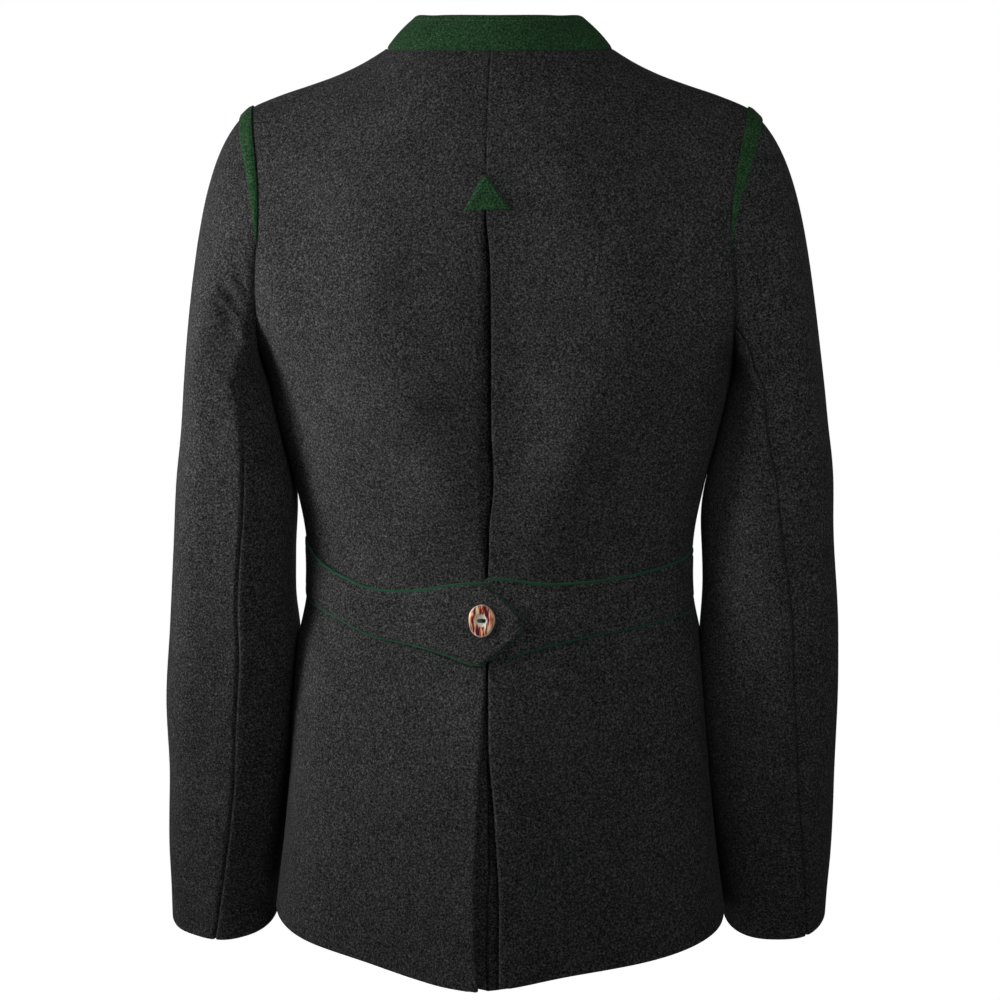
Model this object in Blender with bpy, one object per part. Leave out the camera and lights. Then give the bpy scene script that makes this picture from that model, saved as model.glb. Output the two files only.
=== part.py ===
"""Hip-length loden jacket with a stand collar, a centre-back box pleat and a buttoned half belt.

Metres, +Z up. +X is the wearer's left, -Y the wearer's front. The origin is at the nape,
on the axis of the neck, where the shoulders carry the garment.
"""
import math

import bmesh
import bpy
import numpy as np

PI = math.pi

# ---------------------------------------------------------------- sizes
CLOTH = 0.0018
FELT = 0.0026
TRIM = 0.0012
SEAM_GAP = 0.00015
LAYER_GAP = 0.0006
POWER = 2.4

UNDERARM_Z = -0.235
HALF_UNDERARM = 0.1800
SHOULDER_X = 0.189
NECK_HALF = 0.0850
NECK_SIDE_Z = 0.0010
NAPE_Z = 0.0
FRONT_NECK_Z = -0.065
U_NECK = 0.40
RIDGE_Y = 0.006
ROUNDING = {1: 0.18, -1: 0.20}
SQUARENESS = 1.6

# height, half_width, back_depth, front_depth of the body's level sections
BODY = (
    (-0.720, 0.1804, 0.1320, 0.1200),
    (-0.665, 0.1750, 0.1290, 0.1185),
    (-0.600, 0.1672, 0.1235, 0.1165),
    (-0.550, 0.1628, 0.1175, 0.1140),
    (-0.500, 0.1584, 0.1095, 0.1105),
    (-0.450, 0.1516, 0.1005, 0.1070),
    (-0.415, 0.1442, 0.0955, 0.1045),
    (-0.370, 0.1482, 0.0970, 0.1055),
    (-0.330, 0.1562, 0.1020, 0.1090),
    (-0.276, 0.1706, 0.1105, 0.1140),
    (-0.235, 0.1800, 0.1160, 0.1160),
    (-0.195, 0.2008, 0.1185, 0.1140),
    (-0.140, 0.2203, 0.1160, 0.1030),
    (-0.090, 0.2272, 0.1125, 0.0880),
    (-0.040, 0.2291, 0.1120, 0.0760),
    (0.000, 0.2291, 0.1150, 0.0690),
    (0.040, 0.2291, 0.1180, 0.0650),
)
# distance from the centre, height of the shoulder seam
RIDGE = (
    (0.0000, 0.0320), (0.0300, 0.0290), (0.0640, 0.0165), (0.0850, 0.0010),
    (0.1040, -0.0105), (0.1200, -0.0180), (0.1420, -0.0260), (0.1630, -0.0330),
    (0.1820, -0.0405), (0.2000, -0.0490), (0.2400, -0.0700),
)
# share of the way down the armhole, half width there
ARMHOLE = {
    1: (
        (0.0, 0.1890), (0.09, 0.1850), (0.245, 0.1800), (0.453, 0.1775),
        (0.71, 0.1775), (0.91, 0.1780), (1.0, 0.1800),
    ),
    -1: (
        (0.0, 0.1890), (0.09, 0.1835), (0.245, 0.1765), (0.453, 0.1715),
        (0.71, 0.1720), (0.91, 0.1770), (1.0, 0.1800),
    ),
}
# share of the way round from centre to side seam, height of the hem
HEM = {
    (1, 1): (
        (0.0, -0.6900), (0.074, -0.6882), (0.159, -0.6842), (0.314, -0.6757),
        (0.550, -0.6672), (0.765, -0.6620), (1.0, -0.6585),
    ),
    (1, -1): (
        (0.0, -0.6872), (0.132, -0.6817), (0.277, -0.6780), (0.389, -0.6757),
        (0.525, -0.6730), (0.725, -0.6691), (1.0, -0.6650),
    ),
    (-1, 1): ((0.0, -0.6740), (0.3, -0.6725), (0.6, -0.6670), (1.0, -0.6585)),
    (-1, -1): ((0.0, -0.6740), (0.3, -0.6730), (0.6, -0.6695), (1.0, -0.6650)),
}
# height, left edge and right edge of the slit that the pleat opens
SLIT = (
    (-0.720, 0.0066, -0.0096), (-0.6875, 0.0069, -0.0095), (-0.661, 0.0085, -0.0094),
    (-0.615, 0.0088, -0.0091), (-0.590, 0.0086, -0.0074), (-0.5545, 0.0075, -0.0049),
    (-0.514, 0.0058, -0.0010), (-0.477, 0.0036, 0.0002), (-0.450, 0.0032, 0.0010), (-0.420, 0.0034, 0.0016),
    (-0.389, 0.0034, 0.0024), (-0.371, 0.0046, 0.0014), (-0.343, 0.0058, 0.0002),
    (-0.328, 0.0060, -0.0020), (-0.274, 0.0062, -0.0017), (-0.220, 0.0048, -0.0020),
    (-0.1925, 0.0044, -0.0019), (-0.141, 0.0040, -0.0004), (-0.1176, 0.0033, 0.0023),
    (-0.100, 0.0036, 0.0030), (0.000, 0.0048, 0.0042), (0.040, 0.0048, 0.0042),
)
PLEAT_TOP_Z = -0.090
PLEAT_RETURN = 0.040
SEAM_RETURN = 0.012
HEM_TURN = 0.0015
# height, how far the pleat's underlay stands in behind the folds at the slit
RECESS = ((-0.720, 0.0080), (-0.600, 0.0080), (-0.450, 0.0020), (-0.370, 0.0020), (-0.250, 0.0040), (-0.100, 0.0010))
EDGE_FADE_U = {1: 0.22, -1: 0.10}
UNDERLAY_RISE = 0.012
OVERLAP = 0.018
UNDERLAP = 0.014
OVERLAP_FULL_X = 0.016
OVERLAP_END_X = 0.034

BICEP_Z = -0.247
CUFF_Z = -0.678
SLEEVE_POWER = 2.3
SLEEVE_CLEARANCE = 0.0012
CONTACT_ROUNDING = 0.003
# height, centre_x, centre_y, half_width, half_depth, pitch of the sleeve's sections
SLEEVE = (
    (-0.690, 0.2155, -0.0600, 0.0379, 0.0500, 0.25),
    (-0.660, 0.2150, -0.0520, 0.0389, 0.0515, 0.25),
    (-0.620, 0.2135, -0.0400, 0.0424, 0.0545, 0.22),
    (-0.560, 0.2106, -0.0215, 0.0463, 0.0585, 0.17),
    (-0.498, 0.2087, -0.0065, 0.0492, 0.0610, 0.10),
    (-0.440, 0.2052, 0.0040, 0.0497, 0.0620, 0.05),
    (-0.380, 0.2033, 0.0085, 0.0488, 0.0640, 0.02),
    (-0.330, 0.2028, 0.0080, 0.0468, 0.0670, 0.0),
    (-0.285, 0.2057, 0.0060, 0.0389, 0.0710, 0.0),
    (-0.247, 0.2096, 0.0040, 0.0330, 0.0750, 0.0),
)
# height, how much fuller each sleeve is toward the body
FULLNESS = {
    1: ((-0.700, 0.0090), (-0.640, 0.0080), (-0.560, 0.0040), (-0.490, 0.0030), (-0.433, 0.0035), (-0.380, 0.0), (-0.220, 0.0)),
    -1: (
        (-0.700, 0.0040), (-0.640, 0.0060), (-0.560, 0.0080), (-0.500, 0.0090), (-0.450, 0.0080),
        (-0.400, 0.0035), (-0.350, 0.0045), (-0.300, 0.0060), (-0.220, 0.0040),
    ),
}
# height, how far each sleeve hangs outward of the common form
SWAY = {
    1: (
        (-0.700, 0.0150), (-0.670, 0.0138), (-0.622, 0.0105), (-0.590, 0.0075), (-0.560, 0.0048),
        (-0.496, 0.0028), (-0.433, 0.0), (-0.354, -0.0018), (-0.279, -0.0018), (-0.220, -0.0036),
    ),
    -1: (
        (-0.700, 0.0010), (-0.670, 0.0020), (-0.590, 0.0028), (-0.510, 0.0026), (-0.433, 0.0054),
        (-0.354, 0.0040), (-0.300, 0.0064), (-0.260, 0.0046), (-0.220, 0.0016),
    ),
}
# share down the sleeve (0 armhole, 1 biceps, 2 cuff), share round it of the back and front seams
SLEEVE_SEAMS = {
    1: (
        (0.0, 0.404, 0.620), (0.60, 0.398, 0.635), (0.85, 0.388, 0.640), (1.03, 0.362, 0.642),
        (1.10, 0.329, 0.643), (1.20, 0.293, 0.645), (1.35, 0.280, 0.648), (1.60, 0.278, 0.650),
        (1.85, 0.265, 0.650), (2.0, 0.247, 0.650),
    ),
    -1: (
        (0.0, 0.356, 0.620), (0.45, 0.330, 0.633), (0.90, 0.312, 0.640), (1.07, 0.268, 0.643),
        (1.165, 0.240, 0.645), (1.30, 0.217, 0.648), (1.60, 0.194, 0.650), (1.85, 0.173, 0.650),
        (2.0, 0.150, 0.650),
    ),
}
CUFF_LIFT = {1: -0.007, -1: 0.002}

COLLAR_ROUNDED = 0.020
COLLAR_RISE = 0.0009
# share of the way round from the back, half_width scale, forward lean, height of the top edge
COLLAR_TOP = (
    (0.00, 0.735, 0.0100, 0.0252),
    (0.25, 0.735, 0.0090, 0.0252),
    (0.50, 0.760, 0.0010, 0.0220),
    (0.75, 0.850, -0.0060, -0.0080),
    (1.00, 0.900, -0.0100, -0.0370),
)

INSET_WIDTH = 0.0160
INSET_END = 0.265
TRIANGLE = ((0.0037, -0.0883), (0.0177, -0.1140), (-0.0146, -0.1132))

# centre offset, top edge, bottom edge
BELT_LEFT = (
    (0.1400, -0.3790, -0.4150), (0.1303, -0.3852, -0.4172), (0.1185, -0.3910, -0.4208),
    (0.1071, -0.3949, -0.4252), (0.0959, -0.3991, -0.4299), (0.0849, -0.4004, -0.4333),
    (0.0740, -0.4005, -0.4348), (0.0526, -0.3986, -0.4380), (0.0315, -0.3941, -0.4432),
    (0.0125, -0.3916, -0.4494), (0.0050, -0.3916, -0.4503), (-0.0020, -0.3973, -0.4443),
    (-0.0124, -0.4070, -0.4355), (-0.0193, -0.4133, -0.4300), (-0.0226, -0.4180, -0.4250),
)
BELT_RIGHT = (
    (0.0250, -0.3900, -0.4520), (0.0069, -0.3891, -0.4500), (-0.0110, -0.3889, -0.4445),
    (-0.0310, -0.3918, -0.4387), (-0.0523, -0.3927, -0.4337), (-0.0729, -0.3917, -0.4292),
    (-0.0934, -0.3896, -0.4270), (-0.1139, -0.3867, -0.4239), (-0.1345, -0.3829, -0.4215),
    (-0.1447, -0.3804, -0.4206),
)
BELT_SIDE_Z = {1: (-0.3720, -0.4120), -1: (-0.3765, -0.4190)}
BELT_END_U = 0.94
BELT_THICKNESS = 0.0024
BELT_GAP = 0.0008
PIPING_RADIUS = 0.0008

BUTTON_AT = (0.0057, -0.4190)
BUTTON_HALF = (0.0100, 0.0123)
BUTTON_THICKNESS = 0.0040
# share of the radius, share of the thickness
BUTTON_PROFILE = ((0.86, 0.0), (1.0, 0.35), (0.97, 0.80), (0.80, 1.0), (0.42, 0.97), (0.30, 0.62))
BUTTON_SIDES = 18
FRONT_BUTTON_Z = (-0.095, -0.173, -0.251, -0.329, -0.407)


def smooth(x, table, column=1):
    """Hermite curve through the rows of a table that rises or falls in its first column."""
    rows = np.array(sorted(table), float)
    xs = rows[:, 0]
    ys = rows[:, column]
    slopes = np.gradient(ys, xs)
    x = np.clip(np.asarray(x, float), xs[0], xs[-1])
    i = np.clip(np.searchsorted(xs, x, side="right") - 1, 0, len(xs) - 2)
    span = xs[i + 1] - xs[i]
    t = (x - xs[i]) / span
    start = (2 * t ** 3 - 3 * t ** 2 + 1) * ys[i] + (t ** 3 - 2 * t ** 2 + t) * span * slopes[i]
    end = (3 * t ** 2 - 2 * t ** 3) * ys[i + 1] + (t ** 3 - t ** 2) * span * slopes[i + 1]
    return start + end


def ease(t):
    """Smooth step from 0 to 1."""
    t = np.clip(t, 0.0, 1.0)
    return t * t * (3.0 - 2.0 * t)


def unit(v):
    """Vectors scaled to length one."""
    return v / np.maximum(np.linalg.norm(v, axis=-1, keepdims=True), 1e-12)


# ---------------------------------------------------------------- body surface
def ridge_height(x):
    return smooth(np.abs(x), RIDGE)


def body_y(x, z, face):
    """Depth of the body's surface; face +1 is the back, -1 the front."""
    wide = smooth(z, BODY, 1)
    deep = smooth(z, BODY, 2 if face > 0 else 3)
    ratio = np.clip(np.abs(x) / wide, 0.0, 1.0)
    full = deep * (1.0 - ratio ** POWER) ** (1.0 / POWER)
    drop = np.clip((ridge_height(x) - z) / ROUNDING[face], 0.0, 1.0)
    grow = np.sqrt(1.0 - (1.0 - drop) ** SQUARENESS)
    return RIDGE_Y + (face * full - RIDGE_Y) * grow


def body_normal(x, z, face):
    """Outward unit normal of the body's surface."""
    step = 0.0005
    limit = smooth(z, BODY, 1) - step
    xc = np.clip(x, -limit + step, limit - step)
    zc = np.minimum(z, ridge_height(xc) - 2.0 * step)
    slope_x = (body_y(xc + step, zc, face) - body_y(xc - step, zc, face)) / (2.0 * step)
    slope_z = (body_y(xc, zc + step, face) - body_y(xc, zc - step, face)) / (2.0 * step)
    return unit(face * np.stack([-slope_x, np.ones_like(slope_x), -slope_z], -1))


def body_half_width(y, z):
    """Half width of the body's section at depth y."""
    wide = smooth(z, BODY, 1)
    deep = np.where(y > 0, smooth(z, BODY, 2), smooth(z, BODY, 3))
    return wide * (1.0 - np.clip(np.abs(y) / deep, 0.0, 1.0) ** POWER) ** (1.0 / POWER)


def top_curve(u, face):
    """Neckline and shoulder seam: half width and height at share u of the way from the centre."""
    a = np.clip(u / U_NECK, 0.0, 1.0) * PI / 2.0
    centre = NAPE_Z if face > 0 else FRONT_NECK_Z
    neck_x = NECK_HALF * np.sin(a)
    neck_z = NECK_SIDE_Z + (centre - NECK_SIDE_Z) * np.cos(a)
    s = np.clip((u - U_NECK) / (1.0 - U_NECK), 0.0, 1.0)
    seam_x = NECK_HALF + (SHOULDER_X - NECK_HALF) * s
    on_neck = u <= U_NECK
    return np.where(on_neck, neck_x, seam_x), np.where(on_neck, neck_z, ridge_height(seam_x))


def spread(u):
    """Share of the half width at share u of the way round a section."""
    return np.sin(u * PI / 2.0) ** (2.0 / POWER)


def body_xz(u, v, face, side):
    """Half width and height on a panel: v 0 to 1 above the underarm, 1 to 2 below it."""
    w = np.clip(v, 0.0, 1.0)
    top_x, top_z = top_curve(u, face)
    high_z = top_z + (UNDERARM_Z - top_z) * w
    high_x = top_x * (1.0 - w) + HALF_UNDERARM * spread(u) * w
    high_x = high_x * smooth(w, ARMHOLE[face]) / (SHOULDER_X * (1.0 - w) + HALF_UNDERARM * w)
    w = np.clip(v - 1.0, 0.0, 1.0)
    low_z = UNDERARM_Z + (smooth(u, HEM[(face, side)]) - UNDERARM_Z) * w
    low_x = smooth(low_z, BODY, 1) * spread(u)
    return np.where(v <= 1.0, high_x, low_x), np.where(v <= 1.0, high_z, low_z)


def armhole_loop(f):
    """The armhole's edge on the +X side; f runs from the shoulder down the back and up the front."""
    w = np.linspace(0.0, 1.0, 240) ** 1.5
    halves = []
    for face in (1, -1):
        x, z = body_xz(np.ones_like(w), w, face, 1)
        halves.append(np.stack([x, body_y(x, z, face), z], -1))
    lines = (halves[0], halves[1][::-1])
    points = []
    for line, start in zip(lines, (0.0, 0.5)):
        run = np.concatenate([[0.0], np.cumsum(np.linalg.norm(np.diff(line, axis=0), axis=1))])
        share = np.clip((f - start) * 2.0, 0.0, 1.0)
        points.append(np.stack([np.interp(share, run / run[-1], line[:, i]) for i in range(3)], -1))
    return np.where((f <= 0.5)[..., None], points[0], points[1])


# ---------------------------------------------------------------- sleeve surface
def sleeve_ring(f, z, side):
    """Section of the sleeve, flattened where it lies against the body."""
    a = 2.0 * PI * f
    fuller = smooth(z, FULLNESS[side]) / 2.0
    centre_x = smooth(z, SLEEVE, 1) + smooth(z, SWAY[side]) - fuller
    centre_y = smooth(z, SLEEVE, 2)
    c = np.cos(a)
    s = np.sin(a)
    x = centre_x + (smooth(z, SLEEVE, 3) + fuller) * np.sign(c) * np.abs(c) ** (2.0 / SLEEVE_POWER)
    y = centre_y + smooth(z, SLEEVE, 4) * np.sign(s) * np.abs(s) ** (2.0 / SLEEVE_POWER)
    height = z - smooth(z, SLEEVE, 5) * (y - centre_y)
    wall = np.where(height < UNDERARM_Z, body_half_width(y, height) + SLEEVE_CLEARANCE, 0.0)
    x = 0.5 * (x + wall + np.sqrt((x - wall) ** 2 + CONTACT_ROUNDING ** 2))
    return np.stack([x, y, height], -1)


def sleeve(f, s, side):
    """Sleeve surface on the +X side; s runs 0 armhole, 1 biceps, 2 cuff."""
    f, s = np.broadcast_arrays(np.asarray(f, float), np.asarray(s, float))
    f = np.mod(f, 1.0)
    start = armhole_loop(f) + np.array([2.0 * SEAM_GAP + 0.0003, 0.0, 0.0])
    end = sleeve_ring(f, np.full_like(f, BICEP_Z), side)
    step = 0.001
    pull = (sleeve_ring(f, np.full_like(f, BICEP_Z - step), side) - end) / step
    top = ((1.0 + np.cos(2.0 * PI * f)) / 2.0)[..., None]
    leave = top * np.array([0.80, 0.0, -0.62]) + (1.0 - top) * np.array([0.10, 0.0, -1.0])
    leave = leave + np.sin(2.0 * PI * f)[..., None] * np.array([0.0, 0.25, 0.0])
    length = np.linalg.norm(end - start, axis=-1, keepdims=True)
    leave = unit(leave) * length * (0.75 - 0.05 * top)
    pull = pull * length * (1.0 + 0.50 * top)
    t = np.clip(s, 0.0, 1.0)[..., None]
    cap = (2 * t ** 3 - 3 * t ** 2 + 1) * start + (t ** 3 - 2 * t ** 2 + t) * leave
    cap = cap + (3 * t ** 2 - 2 * t ** 3) * end + (t ** 3 - t ** 2) * pull
    low = np.clip(s - 1.0, 0.0, 1.0)
    tube = sleeve_ring(f, BICEP_Z + (CUFF_Z + CUFF_LIFT[side] - BICEP_Z) * low, side)
    return np.where((s <= 1.0)[..., None], cap, tube)


def sleeve_normal(f, s, side):
    """Outward unit normal of the sleeve surface."""
    step = 0.004
    along_f = sleeve(f + step, s, side) - sleeve(f - step, s, side)
    low = np.clip(s - step, 0.0, 2.0)
    high = np.clip(s + step, 0.0, 2.0)
    along_s = sleeve(f, high, side) - sleeve(f, low, side)
    return unit(np.cross(along_s, along_f))


# ---------------------------------------------------------------- solids
def mirrored(points, side):
    return points * np.array([side, 1.0, 1.0])


def pulled_in(grid, edges, gap=SEAM_GAP):
    """Grid with the named edges drawn in to leave a seam gap."""
    grid = grid.copy()
    if "first" in edges:
        grid[0] += unit(grid[1] - grid[0]) * gap
    if "last" in edges:
        grid[-1] += unit(grid[-2] - grid[-1]) * gap
    if "top" in edges:
        grid[:, 0] += unit(grid[:, 1] - grid[:, 0]) * gap
    if "bottom" in edges:
        grid[:, -1] += unit(grid[:, -2] - grid[:, -1]) * gap
    return grid


def wall_mesh(outer, inner):
    """Vertices and faces of the closed wall between two grids of the same shape."""
    n, m = outer.shape[:2]
    size = n * m
    index = np.arange(size).reshape(n, m)
    a = index[:-1, :-1].ravel()
    b = index[1:, :-1].ravel()
    c = index[1:, 1:].ravel()
    d = index[:-1, 1:].ravel()
    faces = [np.stack([a, b, c, d], 1), np.stack([a, d, c, b], 1) + size]
    loop = np.concatenate([index[:, 0], index[-1, 1:], index[-2::-1, -1], index[0, -2:0:-1]])
    after = np.roll(loop, -1)
    faces.append(np.stack([after, loop, loop + size, after + size], 1))
    verts = np.concatenate([outer.reshape(-1, 3), inner.reshape(-1, 3)])
    return verts, np.concatenate(faces)


def tube_mesh(path, across, out, radius, sides=5):
    """Vertices and faces of a closed cord along a path."""
    n = len(path)
    turn = 2.0 * PI * np.arange(sides) / sides
    ring = across[:, None] * np.cos(turn)[None, :, None] + out[:, None] * np.sin(turn)[None, :, None]
    verts = (path[:, None] + radius * ring).reshape(-1, 3)
    faces = []
    for i in range(n - 1):
        for k in range(sides):
            j = (k + 1) % sides
            faces.append((i * sides + k, i * sides + j, (i + 1) * sides + j, (i + 1) * sides + k))
    faces.append(tuple(range(sides - 1, -1, -1)))
    faces.append(tuple((n - 1) * sides + k for k in range(sides)))
    return verts, faces


def add_object(name, verts, faces, material):
    """One named closed body with its own material, every face pointing out."""
    mesh = bpy.data.meshes.new(name)
    mesh.from_pydata([tuple(map(float, p)) for p in verts], [], [tuple(map(int, f)) for f in faces])
    work = bmesh.new()
    work.from_mesh(mesh)
    bmesh.ops.recalc_face_normals(work, faces=work.faces)
    if work.calc_volume(signed=True) < 0.0:
        bmesh.ops.reverse_faces(work, faces=work.faces)
    bmesh.ops.triangulate(work, faces=work.faces)
    work.to_mesh(mesh)
    work.free()
    mesh.materials.append(make_material(name, *material))
    obj = bpy.data.objects.new(name, mesh)
    bpy.context.scene.collection.objects.link(obj)
    return obj


def make_material(name, colour, roughness):
    mat = bpy.data.materials.new("mat_" + name)
    mat.use_nodes = True
    shader = mat.node_tree.nodes["Principled BSDF"]
    shader.inputs["Base Color"].default_value = (*colour, 1.0)
    shader.inputs["Roughness"].default_value = roughness
    return mat


LODEN = ((0.030, 0.030, 0.031), 0.95)
FELT_GREEN = ((0.016, 0.042, 0.018), 0.95)
PIPING_GREEN = ((0.012, 0.050, 0.022), 0.80)
HORN = ((0.180, 0.060, 0.030), 0.45)


def add_wall(name, points, normals, thickness, material, edges=(), lift=0.0):
    """Cloth of one thickness whose outer side is the given grid, moved out by lift."""
    outer = pulled_in(points + normals * np.asarray(lift)[..., None], edges)
    verts, faces = wall_mesh(outer, outer - normals * thickness)
    return add_object(name, verts, faces, material)


# ---------------------------------------------------------------- rows and columns
UPPER_V = (0.0, 0.012, 0.045, 0.10, 0.18, 0.28, 0.40, 0.53, 0.66, 0.79, 0.90, 1.0)
LOWER_Z = (
    -0.262, -0.292, -0.320, -0.346, -0.366, -0.382, -0.394, -0.406,
    -0.418, -0.430, -0.442, -0.458, -0.484, -0.515, -0.545, -0.580, -0.615, -0.645,
)
ROWS = np.array(UPPER_V + tuple(1.0 + (UNDERARM_Z - z) / (UNDERARM_Z + 0.672) for z in LOWER_Z) + (2.0,))
BACK_U = np.array((0.0, 0.06, 0.14, 0.22, 0.31, 0.40, 0.52, 0.64, 0.76, 0.88, 1.0))
FRONT_U = np.array((0.0, 0.05, 0.10, 0.17, 0.24, 0.32, 0.40, 0.52, 0.64, 0.76, 0.88, 1.0))
COLLAR_END_U = 0.10


def panel_grid(u, v, face, side, edge):
    """Points and normals of a body panel whose centre edge runs at x = edge."""
    u, v = np.meshgrid(u, v, indexing="ij")
    half, z = body_xz(u, v, face, side)
    fade = np.clip(1.0 - u / EDGE_FADE_U[face], 0.0, 1.0) ** 1.5
    x = side * half + edge(z) * fade
    points = np.stack([x, body_y(x, z, face), z], -1)
    normals = body_normal(x, z, face)
    seam = (u > 0.999) & (v >= 1.0)
    shoulder = (v < 1e-6) & (u >= U_NECK - 1e-6)
    normals[..., 1] = np.where(seam | shoulder, 0.0, normals[..., 1])
    return points, unit(normals)


def build_back(side, name):
    """Back panel with the fold at the slit and the return behind it."""
    def edge(z):
        return smooth(z, SLIT, 1 if side > 0 else 2)

    radius = CLOTH + LAYER_GAP / 2.0
    points, normals = panel_grid(BACK_U, ROWS, 1, side, lambda z: edge(z) + side * radius)
    z = points[0, :, 2]
    base_x = edge(z) + side * radius
    start = points[0]
    normal = normals[0]
    sideways = unit(np.array([side, 0.0, 0.0]) - normal * (side * normal[:, :1]))
    columns = []
    column_normals = []
    wide = SEAM_RETURN + (PLEAT_RETURN - SEAM_RETURN) * ease((PLEAT_TOP_Z - z) / 0.03 + 1.0)
    low = np.clip(ROWS - 1.0, 0.0, 1.0)
    hem = HEM[(1, side)]
    for share in (1.0, 0.65, 0.3):
        x = base_x + side * wide * share
        round_share = np.arcsin((np.abs(x) / smooth(z, BODY, 1)) ** (POWER / 2.0)) / (PI / 2.0)
        return_z = z + (smooth(round_share, hem) - smooth(0.0, hem) + HEM_TURN) * low
        depth_point = np.stack([x, body_y(x, return_z, 1), return_z], -1)
        turned = body_normal(x, return_z, 1)
        columns.append(depth_point - turned * 2.0 * radius)
        column_normals.append(-turned)
    for angle in (1.0, 0.75, 0.5, 0.25):
        phi = angle * PI
        columns.append(start - sideways * radius * math.sin(phi) - normal * radius * (1.0 - math.cos(phi)))
        column_normals.append(math.cos(phi) * normal - math.sin(phi) * sideways)
    points = np.concatenate([np.array(columns), points])
    normals = np.concatenate([unit(np.array(column_normals)), normals])
    return add_wall(name, points, normals, CLOTH, LODEN, ("last", "top"))


def build_front(side, name):
    """Front panel; the wearer's left one closes over the right one."""
    reach = -OVERLAP if side > 0 else UNDERLAP
    points, normals = panel_grid(FRONT_U, ROWS, -1, side, lambda z: np.full_like(z, reach))
    lift = np.zeros(points.shape[:2])
    if side > 0:
        lift = (CLOTH + LAYER_GAP) * ease((OVERLAP_END_X - points[..., 0]) / (OVERLAP_END_X - OVERLAP_FULL_X))
    return add_wall(name, points, normals, CLOTH, LODEN, ("last", "top"), lift)


def build_underlay():
    """Strip of cloth behind the slit of the pleat."""
    z = np.concatenate([np.linspace(-0.100, -0.340, 9), np.linspace(-0.370, -0.460, 8), np.linspace(-0.490, -0.6915, 8)])
    across = np.linspace(-1.0, 1.0, 7)
    s, z = np.meshgrid(across, z, indexing="ij")
    z = z + UNDERLAY_RISE * s ** 2 * np.clip((UNDERARM_Z - z) / (UNDERARM_Z + 0.69), 0.0, 1.0)
    centre = (smooth(z, SLIT, 1) + smooth(z, SLIT, 2)) / 2.0
    x = centre + s * (PLEAT_RETURN - 0.001)
    normals = body_normal(x, z, 1)
    depth = 2.0 * CLOTH + 2.0 * LAYER_GAP + smooth(z, RECESS) * (1.0 - s ** 2) + 0.0004
    points = np.stack([x, body_y(x, z, 1), z], -1) - normals * depth[..., None]
    return add_wall("pleat_underlay", points, normals, CLOTH, LODEN)


CAP_S = (0.0, 0.035, 0.08, 0.15, 0.25, 0.38, 0.52, 0.68, 0.84, 1.0)
TUBE_S = (1.06, 1.12, 1.19, 1.27, 1.36, 1.46, 1.56, 1.66, 1.76, 1.86, 1.94, 2.0)


def build_sleeve(side, name, columns, under):
    """Top sleeve or under sleeve between the back seam and the front seam."""
    s = np.array(CAP_S + TUBE_S)
    back = smooth(s, SLEEVE_SEAMS[side], 1)
    front = smooth(s, SLEEVE_SEAMS[side], 2)
    t = np.linspace(0.0, 1.0, columns)[:, None]
    if under:
        f = back[None] + (front - back)[None] * t
    else:
        f = (front - 1.0)[None] + (back - front + 1.0)[None] * t
    s = np.broadcast_to(s[None], f.shape)
    points = sleeve(f, s, side)
    normals = sleeve_normal(f, s, side)
    normals[:, 0, 0] = np.minimum(normals[:, 0, 0], 0.0)
    normals = unit(normals)
    return add_wall(
        name, mirrored(points, side), mirrored(normals, side), CLOTH, LODEN, ("first", "last", "top"))


def build_inset(side, name):
    """Wedge of felt let into the shoulder along the armhole seam."""
    f = np.linspace(-INSET_END, INSET_END, 25)
    width = np.maximum(INSET_WIDTH * (1.0 - np.abs(f / INSET_END)) ** 0.85, 0.0012)
    fine = np.linspace(0.0, 0.4, 60)
    grid = sleeve(f[:, None], fine[None], side)
    run = np.concatenate([np.zeros((len(f), 1)), np.cumsum(np.linalg.norm(np.diff(grid, axis=1), axis=2), 1)], 1)
    rows = np.linspace(0.0, 1.0, 4)
    s = np.array([np.interp(0.0006 + width[i] * rows, run[i], fine) for i in range(len(f))])
    f = np.broadcast_to(f[:, None], s.shape)
    points = mirrored(sleeve(f, s, side), side)
    normals = mirrored(sleeve_normal(f, s, side), side)
    lift = np.full(s.shape, LAYER_GAP + TRIM)
    return add_wall(name, points, normals, TRIM, FELT_GREEN, (), lift)


def neck_ring(a):
    """Neckline seam; a runs from 0 at the nape to pi at the throat, signed by side."""
    turn = np.abs(a)
    back = turn <= PI / 2.0
    u = np.where(back, turn, PI - turn) / (PI / 2.0) * U_NECK
    back_x, back_z = top_curve(u, 1)
    front_x, front_z = top_curve(u, -1)
    x = np.where(back, back_x, front_x)
    z = np.where(back, back_z, front_z)
    y = np.where(back, body_y(x, z, 1), body_y(x, z, -1))
    return np.stack([x * np.where(a < 0, -1.0, 1.0), y, z], -1)


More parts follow.
